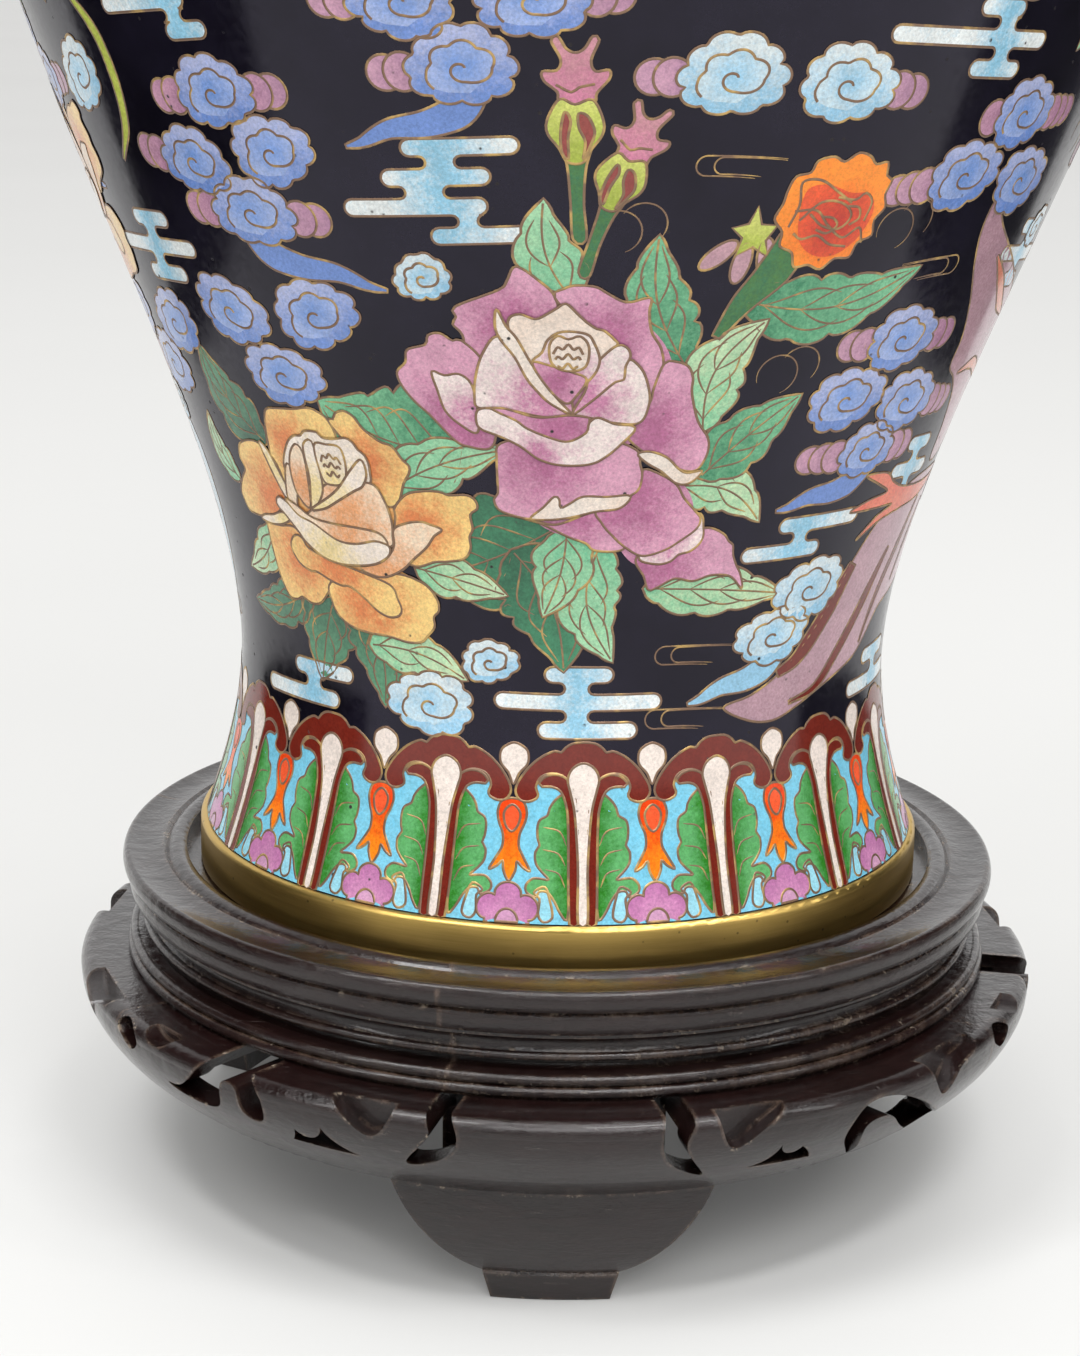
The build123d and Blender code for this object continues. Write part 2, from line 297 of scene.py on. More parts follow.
def wire(spot, path, level=0, closed=False, width=WIRE_WIDTH, taper=False):
    """A thin half-round wire let into the surface along a path."""
    p = np.asarray(path, float)
    keep = np.concatenate([[True], np.hypot(*np.diff(p, axis=0).T) > 0.05])
    p = p[keep]
    if len(p) < 2:
        return
    theta, s = spot.chart(p)
    u = (theta - spot.theta) * spot.r
    v = s - spot.s
    q = np.stack([u, v], -1)
    if closed:
        t = np.roll(q, -1, axis=0) - np.roll(q, 1, axis=0)
    else:
        t = np.gradient(q, axis=0)
    size = np.hypot(t[:, 0], t[:, 1])
    size[size == 0] = 1.0
    t = t / size[:, None]
    half = np.full(len(q), width * 0.5)
    if taper:
        half *= np.minimum(1.0, 0.35 + 4.0 * np.minimum(np.arange(len(q)),
                                                       np.arange(len(q))[::-1]) / len(q))
    side = np.stack([-t[:, 1], t[:, 0]], -1) * half[:, None]
    lift = CELL_LIFT + (spot.level + level) * LEVEL_STEP
    rows, normals = [], []
    for k, up in ((1.0, WIRE_SIDE), (0.0, WIRE_RIDGE), (-1.0, WIRE_SIDE)):
        w = q + side * k
        co, no = on_wall(spot.theta + w[:, 0] / spot.r, spot.s + w[:, 1], lift + up)
        rows.append(co)
        normals.append(no)
    lean = (rows[0] - rows[2])
    lean = lean / np.maximum(np.linalg.norm(lean, axis=1), 1e-9)[:, None]
    normals[0] = normals[0] + lean * 0.8
    normals[2] = normals[2] - lean * 0.8
    n = len(q)
    no = np.concatenate(normals)
    no = no / np.linalg.norm(no, axis=1)[:, None]
    last = n if closed else n - 1
    i = np.arange(last)
    j = (i + 1) % n
    faces = []
    for a, b in ((0, 1), (1, 2)):
        faces.append(np.stack([a * n + i, b * n + i, b * n + j], -1))
        faces.append(np.stack([a * n + i, b * n + j, a * n + j], -1))
    key = sheet_name(spot.theta, spot.s)
    wire_sheets.setdefault(key, Sheet()).add(np.concatenate(rows), no, np.concatenate(faces))


# ---- motifs -------------------------------------------------------------
def rising(low, high, axis=1):
    """Blend that goes from 0 at one coordinate to 1 at another."""
    return lambda p: (p[:, axis] - low) / (high - low)


def from_point(x, y, near, far):
    """Blend that grows with the distance from a point."""
    return lambda p: (np.hypot(p[:, 0] - x, p[:, 1] - y) - near) / (far - near)


def oval(x, y, rx, ry, count, turn=0.0):
    """Closed oval round a point."""
    a = np.linspace(0.0, 2 * math.pi, count, endpoint=False)
    c, d = math.cos(turn), math.sin(turn)
    u, v = rx * np.cos(a), ry * np.sin(a)
    return np.stack([x + u * c - v * d, y + u * d + v * c], -1)


def both_sides(points):
    """Closed outline from one half, which starts or ends on the middle line at x = 0."""
    return points + [(-x, y) for x, y in points if x][::-1]


def lobed(rx, ry, lobes, depth, phase, count):
    """Scalloped oval."""
    a = np.linspace(0.0, 2 * math.pi, count, endpoint=False)
    bump = np.abs(np.sin(lobes * 0.5 * a + phase))
    swell = 1.0 + 0.05 * np.cos(3 * a + phase)
    k = (1.0 - depth + depth * np.sqrt(bump)) * swell
    return np.stack([rx * np.cos(a) * k, ry * np.sin(a) * k], -1)


def cloud(spot, rx=12.5, ry=9.2, tints=(PERI, PERI_IN), caps=(0, 0), tail=0, phase=0.3):
    """Scalloped cloud with a curl inside, and, if asked for, ribbed caps and a tail."""
    if tail:
        way = 1.0 if tail > 0 else -1.0
        reach = abs(tail)
        mid = np.array([(-2.0, -6.0), (2.0, -10.5), (0.32 * reach, -13.2), (0.62 * reach, -14.0),
                        (0.86 * reach, -16.8), (reach, -17.6)])
        mid *= (way, min(1.0, reach / 32.0))
        blade(spot, mid, (7.0, 8.0, 6.6, 5.2, 3.4, 1.0), (tints[0][1], tints[0][1]), 0)
    for way, number in ((-1.0, caps[0]), (1.0, caps[1])):
        for i in range(number, 0, -1):
            x = way * (rx - 3.4 + 4.1 * i)
            lobe = oval(x, -0.6, 4.4, 5.0 - 0.35 * i, 26)
            cell(spot, lobe, CAP, number - i, rising(x - 4, x + 4, 0))
    top = 4
    out = lobed(rx, ry, 10, 0.16, phase, int(rx * 7))
    cell(spot, out, tints[0], top, lambda p: 0.55 - 0.62 * p[:, 1] / ry)
    a = np.radians(np.linspace(-330.0, 215.0, 120))
    deg = np.degrees(a)
    k = np.where(deg < -90, 0.07 + 0.19 * (deg + 330) / 240, 0.0)
    swing = np.clip((deg + 90) / 90.0, 0, 1)
    k = np.where(deg >= -90, 0.26 + 0.27 * swing * swing * (3 - 2 * swing), k)
    arch = np.clip(deg / 215.0, 0.0, 1.0)
    k = k + np.where(deg > 0, 0.10 * np.abs(np.sin(arch * math.pi * 4.0)), 0.0)
    k = k + np.where(deg > 185, (deg - 185) / 30.0 * 0.12, 0.0)
    curl = np.stack([rx * k * np.cos(a), -0.10 * ry + ry * 1.12 * k * np.sin(a)], -1)
    inner = curl[deg > -20]
    inner = np.vstack([inner, [(-0.30 * rx, -0.62 * ry), (0.1 * rx, -0.66 * ry)]])
    cell(spot, inner, tints[1], top + 1, from_point(0, 0, 1.0, 0.6 * rx), edge=False)
    wire(spot, curl, top + 1)


def blade(spot, middle, widths, tint, level=0, blend=None, edge=True):
    """A tapering band along a curved middle line."""
    p = smooth(middle, closed=False, size=spot.size)
    n = len(p)
    t = np.gradient(p, axis=0)
    t = t / np.maximum(np.hypot(t[:, 0], t[:, 1]), 1e-9)[:, None]
    w = np.interp(np.linspace(0, 1, n), np.linspace(0, 1, len(widths)), widths) * 0.5
    side = np.stack([-t[:, 1], t[:, 0]], -1) * w[:, None]
    cell(spot, np.vstack([p + side, (p - side)[::-1]]), tint, level, blend, edge)


def mist(spot, rows, bridges, lean=0.0):
    """Bank of rounded bars joined by short necks; rows and bridges are (left, right)."""
    h = MIST_BAR * 0.5
    g = (MIST_PITCH - MIST_BAR) * 0.5
    ups = [-MIST_PITCH * i for i in range(len(rows))]
    cap = np.radians(np.linspace(90, -90, 9))
    dip = np.radians(np.linspace(90, 270, 7))
    right = []
    left = []
    for i, (a, b) in enumerate(rows):
        y = ups[i]
        right += [(b - h + h * math.cos(t), y + h * math.sin(t)) for t in cap]
        left += [(a + h - h * math.cos(t), y + h * math.sin(t)) for t in cap]
        if i < len(bridges):
            c, d = bridges[i]
            low = y - MIST_PITCH / 2
            right += [(d + g + g * math.cos(t), low + g * math.sin(t)) for t in dip]
            left += [(c - g - g * math.cos(t), low + g * math.sin(t)) for t in dip]
    out = np.array(right + left[::-1])
    out = densify(out)
    mid = 0.5 * (bridges[0][0] + bridges[0][1])
    far = max(abs(rows[0][0] - mid), abs(rows[0][1] - mid), 12.0)
    out[:, 1] += -ups[-1] * 0.5 + lean * out[:, 0]
    cell(spot, out, MIST, 0, lambda p: 1.25 * np.abs(p[:, 0] - mid) / far - 0.08)


def densify(points, step=1.6):
    """The same closed outline with long straight runs divided."""
    out = []
    for a, b in zip(points, np.roll(points, -1, axis=0)):
        n = max(1, int(np.hypot(*(b - a)) / step))
        for i in range(n):
            out.append(a + (b - a) * i / n)
    return np.array(out)


def leaf(spot, length, width, bend=0.1, tints=EMERALD, veins=3, lobes=4, level=0):
    """Pointed leaf from its foot at the origin along +x, with scalloped sides and veins."""
    n = max(24, int(length * spot.size * 0.9))
    t = np.linspace(0.0, 1.0, n)
    mid = np.stack([length * t, bend * length * np.sin(math.pi * t)], -1)
    tan = np.gradient(mid, axis=0)
    tan /= np.hypot(tan[:, 0], tan[:, 1])[:, None]
    nor = np.stack([-tan[:, 1], tan[:, 0]], -1)
    shape = np.sin(math.pi * t ** 0.78) ** 0.8 * (1.0 - 0.25 * t)
    sides = []
    for way, shift in ((1.0, 0.15), (-1.0, 0.55)):
        wave = np.abs(np.sin(math.pi * (lobes * t + shift)))
        w = width * 0.5 * shape * (0.82 + 0.24 * np.sqrt(wave))
        sides.append(mid + nor * (way * w)[:, None])
    out = np.vstack([sides[0], sides[1][::-1][1:-1]])
    cell(spot, out, tints, level, lambda p: 0.15 + 0.95 * p[:, 0] / length)
    wire(spot, mid[int(n * 0.04):int(n * 0.97)], level, width=VEIN_WIDTH)
    for i in range(veins):
        a = 0.10 + 0.60 * i / max(veins, 1)
        b = min(a + 0.42, 0.95)
        for way in (1.0, -1.0):
            run = np.linspace(0, 1, 14)
            tt = a + (b - a) * run
            k = way * width * 0.31 * np.sin(run * math.pi * 0.74) * np.interp(tt, t, shape)
            base = np.stack([np.interp(tt, t, mid[:, 0]), np.interp(tt, t, mid[:, 1])], -1)
            across = np.stack([np.interp(tt, t, nor[:, 0]), np.interp(tt, t, nor[:, 1])], -1)
            wire(spot, base + across * k[:, None], level, width=VEIN_WIDTH, taper=True)


def leaf_between(group, foot, tip, width, bend=0.1, tints=EMERALD, veins=3, lobes=4, level=0):
    """A leaf from one place to another, both as (degrees, height)."""
    dx = math.radians(tip[0] - foot[0]) * REF_R
    dy = float(s_of(tip[1]) - s_of(foot[1]))
    shrink = float(r_at(s_of(0.5 * (foot[1] + tip[1])))) / REF_R
    spot = group.child(foot[0], foot[1], turn=math.atan2(dy, dx))
    leaf(spot, math.hypot(dx * (0.5 + 0.5 * shrink), dy), width, bend, tints, veins, lobes, level)


def hairpin(spot):
    """Two bare wire loops, one inside the other."""
    for start, high, reach in ((0.0, 2.5, HAIRPIN_LENGTH), (4.2, 2.1, HAIRPIN_LENGTH * 0.8)):
        a = np.radians(np.linspace(90, 270, 12))
        bow = np.stack([start + high + high * np.cos(a), high * np.sin(a)], -1)
        run = np.linspace(0, 1, 8)[::-1][:, None]
        head = np.hstack([start + high + run * reach, high - 0.9 * run ** 2])
        foot = np.hstack([start + high + run[::-1] * reach * 0.62, -high - 0.7 * run[::-1] ** 2])
        wire(spot, np.vstack([head, bow[1:-1], foot]), 0, width=LOOP_WIDTH, taper=True)


def rings(spot):
    """Two bare wire arcs that cross."""
    for x, y, start, sweep in ((0.0, 0.0, 200.0, -270.0), (5.6, 2.0, 150.0, -190.0)):
        a = np.radians(np.linspace(start, start + sweep, 30))
        arc = np.stack([x + RING_SIZE * np.cos(a), y + RING_SIZE * np.sin(a)], -1)
        wire(spot, arc, 0, width=LOOP_WIDTH, taper=True)


# Rose petals, back to front: colours, outline in mm round the heart, and the point where
# the first colour lies with the reach of the second.
BIG_ROSE = [
    (PINK, [(-12, 28.5), (-14, 25), (-15.8, 22.7), (-25.7, 18), (-25.7, 15.5), (-26.6, 13.6),
            (-24.6, 11), (-23, 4), (-12, 4), (-3.9, 16), (-3.9, 21.4), (-7, 25)], (-13, 14), 14),
    (PINK, [(-3.9, 21.2), (-2, 23.4), (0.5, 24.3), (4.7, 24), (7.4, 22.4), (10.3, 20.7),
            (12.4, 20.4), (16.6, 21.4), (16.6, 18), (17.6, 13), (20.1, 9), (21.2, 4.5),
            (20.6, 0), (19.4, -3), (10, 0), (3, 12)], (8, 12), 13),
    (PINK, [(21.4, 5.1), (24.4, 5.4), (27.2, 4.2), (28.7, 1.2), (28.9, -2), (30.3, -6.6),
            (32.1, -10.5), (34.9, -14), (35.8, -17), (35.2, -20.2), (33.1, -22.8), (28, -22),
            (18, -17), (14, -12), (18.8, -5.3), (19.6, -1)], (20, -12), 16),
    (PINK, [(-25, 9.7), (-27, 9.5), (-29.9, 11.2), (-32.7, 10.5), (-33.7, 8.1), (-38.3, 6.4),
            (-39.2, 3.2), (-41.7, 0.6), (-41.1, -2.7), (-38.3, -6.6), (-34.8, -9.8),
            (-29.2, -15.7), (-25.7, -17.3), (-19.4, -17), (-18, -8), (-20, 4)], (-26, -12), 18),
    (PINK_PALE, [(-32.9, 1.4), (-29.9, 0.6), (-26.4, 1.2), (-23.6, -1), (-22.5, -6.6),
                 (-22.9, -13.5), (-27.1, -11.8), (-30.6, -8.5), (-32, -3.5)], (-24, -9), 9),
    (PINK, [(-10, -35.4), (-3, -36.6), (7, -33.2), (9.3, -35.9), (12.4, -39.2), (16.2, -42.4),
            (13.1, -43.5), (7.5, -43.1), (5.4, -41.4), (0.5, -39.8), (-5.8, -37)], (3, -34), 12),
    (PINK, [(39, -38), (44.7, -39.8), (47, -42), (48.6, -43.1), (49.3, -45.8), (51, -48.6),
            (53.1, -51.3), (54.4, -55), (49.6, -51.4), (43.3, -50.7), (37.7, -51.9),
            (32.1, -51), (27.2, -53), (24.4, -53.7), (22.6, -50.2), (20, -45), (30, -40)],
     (26, -47), 18),
    (PINK_PALE, [(36, -34), (38.4, -38.1), (38.4, -41.4), (35.6, -43.9), (32.1, -44.7),
                 (30, -46.4), (25.8, -47), (20.5, -45), (26, -38)], (28, -40), 10),
    (PINK, [(18, -24), (20.2, -22), (27.9, -25.6), (31.4, -29.9), (34.9, -33.2), (37, -35.4),
            (36.3, -38.1), (32.1, -41), (27.9, -43.3), (21.6, -44.7), (16.6, -42.5),
            (12.4, -39.2), (9.3, -35.9), (8, -32)], (16, -30), 20),
    (PINK, [(-17.3, -16), (-18.4, -20.2), (-18.5, -25.4), (-18.6, -29), (-19.7, -30.6),
            (-18.8, -33), (-15.8, -34.3), (-9.5, -35.3), (-2, -34), (8, -32.5), (15, -29.5),
            (18.4, -27.4), (19.1, -23.5), (18.2, -20.5), (17, -17), (8, -14), (-8, -14)],
     (-6, -19), 17),
    (CREAM, [(-10, -35.1), (-6.5, -32.1), (-3.7, -29.3), (-2.3, -29.9), (-1.9, -32.1),
             (0.5, -31), (4, -29.1), (10, -29.1), (15.9, -28.7), (16.4, -29.9), (13.6, -32.2),
             (7.5, -33), (-0.2, -34.8), (-6.5, -35.4)], (2, -33), 14),
    (CREAM, [(17.4, -18), (20.5, -17.4), (25, -19), (28.5, -22), (31, -23.2), (35, -22.8),
             (33.5, -25), (31, -26.2), (28, -25.6), (24, -22.6), (20, -20.4)], (20, -19), 14),
    (CREAM, [(-14.1, 15.2), (-11.6, 17), (-8.1, 15.9), (-5.3, 17.4), (-3.6, 18.6), (-1.5, 19.9),
             (1, 17.5), (3.1, 15.4), (5.4, 13.8), (7, 13.4), (9.6, 11), (10, 9.5), (6, 4),
             (0, 2), (-9, 2), (-13, 9)], (-2, 6), 12),
    (PINK_PALE, [(-16.4, 11.3), (-20.1, 7.1), (-22.2, 1.2), (-22.9, -4), (-22.2, -7),
                 (-16, -7), (-6, -8.7), (0.5, -8), (-2, 0), (-11, 6)], (-7, -6), 15),
    (PINK_PALE, [(12.8, 6.4), (14, 6), (16.6, 3.2), (18.4, -1.4), (18.8, -5.3), (17, -9.8),
                 (11, -9.9), (4.7, -8.6), (0.5, -7.8), (4, -2), (9, 4)], (6, -5), 11),
    (CREAM, [(-16.5, 18), (-14.6, 14), (-12.3, 11), (-9.5, 5.5), (-6, 0), (-3, -4), (0.3, -7.8),
             (-5, -5), (-8.4, -1.5), (-10.4, 1.2), (-13, 6.4), (-15.8, 10.3), (-17, 13.6)],
     (-14, 12), 26),
    (PINK_PALE, [(10, 9.7), (12.4, 9.2), (13.3, 7.1), (12.4, 4.6), (12.2, 1.2), (10.3, 0.6),
                 (5.4, -4), (0.5, -7.8), (3.3, -2), (4, 1.2), (6.1, 5.8)], (3, -3), 13),
    (PINK_PALE, [(-2.2, 13), (-5.3, 11), (-6.7, 7.7), (-8.8, 5.1), (-4, 2), (2, 0), (5, 2),
                 (6.4, 6), (4.8, 10.6), (3, 12.6)], (-1, 2), 10),
    (PINK, [(-8.9, 5), (-4.5, 4.4), (0, 3), (3.6, 1.2), (1.4, -3), (-1, -5), (-5, -1.6)],
     (-3, 0), 8),
    (CREAM, [(-5, 9.6), (-3.2, 12), (-0.8, 11.2), (1.8, 12), (3.8, 9.4), (3.2, 4.4), (-1, 3.2),
             (-4.4, 5)], (-1, 4), 7),
    (PINK, [(-22.3, -7.4), (-16, -6.8), (-8, -8.7), (0, -8), (4.7, -8.6), (4.7, -9.8),
            (4, -12.4), (-0.2, -14.7), (-4.4, -14), (-10.2, -11.8), (-17, -8.4)], (-2, -11), 16),
    (PINK_PALE, [(-22.4, -7.6), (-19.6, -6.9), (-17.3, -7.9), (-13, -9.8), (-10.2, -11.8),
                 (-4.4, -14), (-0.2, -14.7), (4, -12.4), (4.7, -9.8), (6.8, -8.5), (11, -10.1),
                 (15.2, -10.5), (15.9, -11.8), (13.1, -15), (9.6, -18.3), (5.4, -20.5),
                 (-1.8, -20.9), (-7.4, -19.6), (-12.3, -16.3), (-17.3, -14), (-21.8, -12.4),
                 (-22.9, -10.5)], (-8, -19), 9),
]

PEACH_ROSE = [
    (PEACH, [(-22.9, 3.8), (-21.5, 9), (-19.7, 12), (-15.8, 12.9), (-8.8, 13.6), (-3.9, 14.6),
             (-0.4, 13.9), (2.4, 11.8), (3, 6), (-8, 2), (-19, -10), (-23.6, -4)], (-14, 4), 11),
    (PEACH, [(2.4, 11.8), (4.1, 12.5), (5.2, 14.2), (8, 15.2), (10.8, 13.9), (12.9, 11),
             (17.1, 8.1), (20.6, 7.1), (23.1, 3.8), (24.8, 2.2), (24.5, 0.3), (22.4, -2.7),
             (19.2, -8.8), (14, -8), (8, 4)], (12, 2), 12),
    (PEACH, [(-46.8, -16), (-45, -19), (-39.6, -19.6), (-34.2, -19), (-28, -17), (-23, -13),
             (-21, -9), (-22, -3), (-25.2, 0), (-28.8, 2), (-34.2, 1.5), (-38.7, -0.5),
             (-40.5, -4), (-39.6, -7), (-43.2, -10), (-46.8, -14)], (-27, -13), 17),
    (CREAM_WARM, [(-27.5, 2.2), (-24.6, 0.6), (-22, -5), (-19.6, -11), (-22, -12), (-25, -6)],
     (-24, -4), 9),
    (PEACH, [(-35, -20.4), (-28.8, -20.6), (-22, -20), (-18, -23), (-12, -28), (-10.2, -33.6),
             (-12.3, -36.3), (-16.5, -39.6), (-20.8, -40.3), (-25, -39.3), (-27.8, -40.3),
             (-32, -40.3), (-34.5, -37), (-36, -32), (-36.2, -25)], (-22, -28), 15),
    (CREAM_WARM, [(-38, -20.2), (-33, -20.8), (-27, -20), (-22, -17.6), (-26, -16.6),
                  (-31, -18), (-36, -18.8)], (-24, -18), 12),
    (PEACH, [(18.2, -12.1), (18.5, -9.4), (22.7, -5.5), (27.6, -4.2), (32.5, -3.9),
             (35.3, -4.6), (40.3, -4.2), (42.7, -5.5), (43.1, -7.7), (41, -9.4), (41.4, -13.2),
             (40.3, -15.4), (40.3, -18.7), (38.1, -21.5), (33.2, -22.6), (29, -23.1),
             (22.7, -24.8), (16, -22)], (25, -14), 14),
    (PEACH, [(-10.2, -33.2), (-10.9, -38.5), (-8.8, -41.8), (-3.9, -44), (3.1, -44.8),
             (10.1, -44.8), (17.1, -45.6), (22, -45.1), (24.1, -43.5), (26.9, -40.7),
             (26.9, -38), (28.7, -36.3), (28.7, -33.6), (26.2, -30.3), (22.7, -28.6),
             (17.1, -27.6), (5, -28)], (4, -36), 17),
    (PEACH, [(-25.3, -26.4), (-24.3, -23.7), (-21.5, -22), (-19, -22.6), (-17.3, -24.8),
             (-10.9, -26.4), (-3.9, -27.5), (3.1, -28.6), (11.5, -30.3), (14.3, -31.9),
             (15, -34.1), (16.1, -36.9), (15, -38.8), (11.5, -39.6), (7.3, -38.5),
             (3.1, -35.8), (-1.8, -33.3), (-6, -33.3), (-10.2, -32.5), (-15.1, -31.1),
             (-18.7, -31.1), (-22.9, -29.7)], (-6, -28), 17),
    (PEACH_PALE, [(17.1, -15.4), (22, -13.2), (26.2, -12.5), (28.3, -12.9), (32.2, -14.1),
                  (29.7, -16), (26.9, -19.3), (22.7, -22.6), (17.8, -26.4), (11.5, -28.9),
                  (5.9, -28.6), (3.1, -27.2), (8, -25.9), (13.6, -23.1), (16.4, -19.8)],
     (8, -28), 22),
    (CREAM_WARM, [(-18.7, -3.3), (-15.1, 3.2), (-11.6, 6.1), (-8.8, 6.6), (-6.7, 8.1),
                  (-2.5, 8.3), (-1.1, 7.1), (2.4, 7.1), (6.6, 7.9), (8.7, 7.1), (10.1, 5.1),
                  (11.9, 3.8), (12.6, -0.1), (10, -5), (-8, -9), (-15, -9)], (-2, -4), 11),
    (PEACH_PALE, [(-19.4, -6.1), (-20.8, -12.1), (-18, -15.4), (-12, -14), (-4, -6), (6, -4),
                  (12.9, -3.9), (15.7, -8.3), (16.8, -13.2), (16.4, -17.1), (15, -20.4),
                  (4, -20), (-8, -18), (-17, -14), (-14, -6), (-17, -2)], (2, -14), 15),
    (PEACH_PALE, [(-14.6, 1), (-11.4, 4), (-9.4, 2), (-10, -5), (-12, -13.2), (-16, -10),
                  (-16.4, -4)], (-14, -8), 10),
    (CREAM_WARM, [(-8.2, 4.6), (-5, 5.6), (-4.6, -2), (-5.4, -8), (-9.6, -13), (-11.4, -13.4),
                  (-9.2, -5), (-9, 1)], (-9, -9), 12),
    (CREAM_WARM, [(-4.4, 4.6), (0, 5.4), (4.4, 5), (5, 0), (3.4, -4.4), (-1, -5.6),
                  (-4.2, -4.2)], (0, -5), 9),
    (CREAM_WARM, [(10.4, 2.6), (6, -1), (1, -6), (-4, -9.4), (-11.6, -13.6), (-6, -12.6),
                  (0, -9.6), (6, -6.4), (9.4, -4.6), (11.4, -1)], (-8, -12), 18),
    (CREAM_WARM, [(-26.7, -13.5), (-25, -12.1), (-21.5, -13.3), (-18, -15.6), (-12, -17.1),
                  (-3.9, -20.7), (3.1, -20.9), (10.1, -19.3), (13.6, -19.6), (15, -20.9),
                  (13.6, -23.3), (8, -25.9), (-1.8, -27.2), (-7.4, -27), (-12, -25.9),
                  (-17.3, -23.1), (-19.4, -20.9), (-23.6, -17.1), (-26.4, -15)], (-8, -25), 13),
    (PEACH_PALE, [(-22, -12.2), (-18, -13.2), (-12, -15.8), (-4, -16.4), (5, -16.4),
                  (12, -17), (14.4, -19.6), (10.1, -19.3), (3.1, -20.9), (-3.9, -20.7),
                  (-12, -17.4), (-18, -15.9)], (0, -20), 12),
]


# Ovals behind the petals, so that no ground shows between them: middle and half sizes.
BIG_BACKS = [(0, 0, 24, 20), (4, -28, 17, 12), (24, -36, 11, 12), (-22, -4, 12, 10)]
PEACH_BACKS = [(-4, -12, 24, 19), (10, -34, 16, 8), (22, -15, 11, 7), (-24, -26, 9, 10)]


def rose(spot, petals, level=0, stretch=(1.0, 1.0)):
    """A rose from its table of petals; each petal lies over the ones before it."""
    k = np.array(stretch)
    backs, heart = (BIG_BACKS, (-0.8, 6.8)) if petals is BIG_ROSE else (PEACH_BACKS, (0.2, -0.2))
    for x, y, rx, ry in backs:
        cell(spot, oval(x, y, rx, ry, 60) * k, petals[0][0], level - 1, edge=False)
    for i, y in enumerate((2.6, 0.2, -2.2)):
        x = np.linspace(-3.4 + 0.5 * i, 3.4 - 0.5 * i, 21)
        wave = np.stack([heart[0] + x, heart[1] + y + 0.55 * np.cos(x * 2.6) - 0.13 * x * x], -1)
        wire(spot, wave * k, level + len(petals))
    for number, (tint, points, (x, y), reach) in enumerate(petals):
        out = smooth(np.array(points, float) * k, size=spot.size, step=0.9)
        cell(spot, out, tint, level + number, from_point(x * k[0], y * k[1], reach * 0.2, reach))


def bud_rose(spot, level=0):
    """Half-open flame-coloured rose of overlapping arcs."""
    outer = [(-13.4, 6), (-12, 9.4), (-8.4, 10.4), (-7.2, 13.4), (-3, 14.4), (0, 13),
             (3.4, 15.2), (7, 14.2), (9.2, 12), (12.6, 12.4), (13.4, 8.8), (15.4, 7.4),
             (14.6, 3.6), (15.8, 0), (13.6, -3.4), (14.2, -7.6), (10.4, -9.4), (9, -13.4),
             (4.6, -13.6), (1, -16.4), (-3, -15), (-7, -15.4), (-8.6, -11.4), (-12.4, -9.4),
             (-12.6, -5.6), (-15.4, -2), (-14, 2)]
    cell(spot, smooth(outer, size=spot.size), FLAME, level, from_point(1, -4, 6, 14))
    heart = [(-8.6, 5), (-3, 7), (4, 4.6), (10, 4), (12.4, -1), (10, -8), (4, -12.6), (-3, -12),
             (-8, -6.6)]
    cell(spot, smooth(heart, size=spot.size), EMBER, level + 1, from_point(2, -4, 2, 12), edge=False)
    lines = [
        [(-13, -5), (-11, 2), (-11.6, 9), (-6, 9.6), (0, 6), (6, 2)],
        [(-10, -3), (-4, 2.6), (3, 2), (7, -2), (4, -6), (-2, -5), (-7, -1)],
        [(-12, 0), (-5, 0), (0, -5), (6, -9), (11, -6), (13.4, -11)],
        [(1, 4), (7, 3), (10, 5), (13, 2), (12, -4)],
        [(-11, -7), (-8, -9), (-3, -8), (2, -11), (8, -12)],
        [(-3, -2), (1, -2.6), (3, -5), (0, -7.4), (-4, -6)],
        [(5, 1), (9, 0.4), (10, -3), (7, -5)],
    ]
    for line in lines:
        inner = np.array(line, float) * 0.86
        wire(spot, smooth(inner, closed=False, size=spot.size), level + 1)


def pink_bud(spot, level=0):
    """Closed bud: forked pink tip, lime sepals with maroon drops, green stalk."""
    stalk = [(-4.6, -4), (-3, -8), (-1.6, -14), (-0.6, -24), (0.4, -35), (4.2, -35), (3.2, -24),
             (3.4, -14), (4.6, -8), (4.2, -4)]
    cell(spot, smooth(stalk, size=spot.size), OLIVE, level)
    tip = [(-6.2, 22), (-4.6, 23.4), (-2.4, 20), (0, 19), (2.2, 20.4), (4, 23.6), (5.6, 22.6),
           (3.8, 17), (5, 14), (8.4, 14.4), (8.6, 12), (5.6, 8), (4.6, 5), (-3.6, 5),
           (-4.6, 8), (-8, 11), (-8.4, 13.6), (-4.8, 14), (-3.8, 17)]
    cell(spot, smooth(tip, size=spot.size, step=0.7), ("cf7f9c", "c98f98"), level + 1, rising(4, 22))
    cup = [(-4, 6), (0, 4.6), (4.6, 6), (7.6, 0), (7.4, -4), (4.8, -8), (2.6, -12), (-1.6, -12),
           (-4, -8), (-7, -4), (-7.2, 0)]
    cell(spot, smooth(cup, size=spot.size), LIME, level + 2, rising(-8, 6))
    for drop in ([(-2.6, 2.4), (-1, 0), (-1.6, -5), (-1.4, -11), (-3.2, -9), (-3.6, -3)],
                 [(1, 2), (3.4, 1.4), (5.4, -3), (4.4, -7), (2.6, -11), (3, -6), (1.2, -2)]):
        cell(spot, smooth(drop, size=spot.size, step=0.7), ("8a3a36", "9c4a42"), level + 3)
    wire(spot, smooth([(-5, 10), (-1, 8), (1, 9.4), (5, 10.4)], closed=False), level + 1)


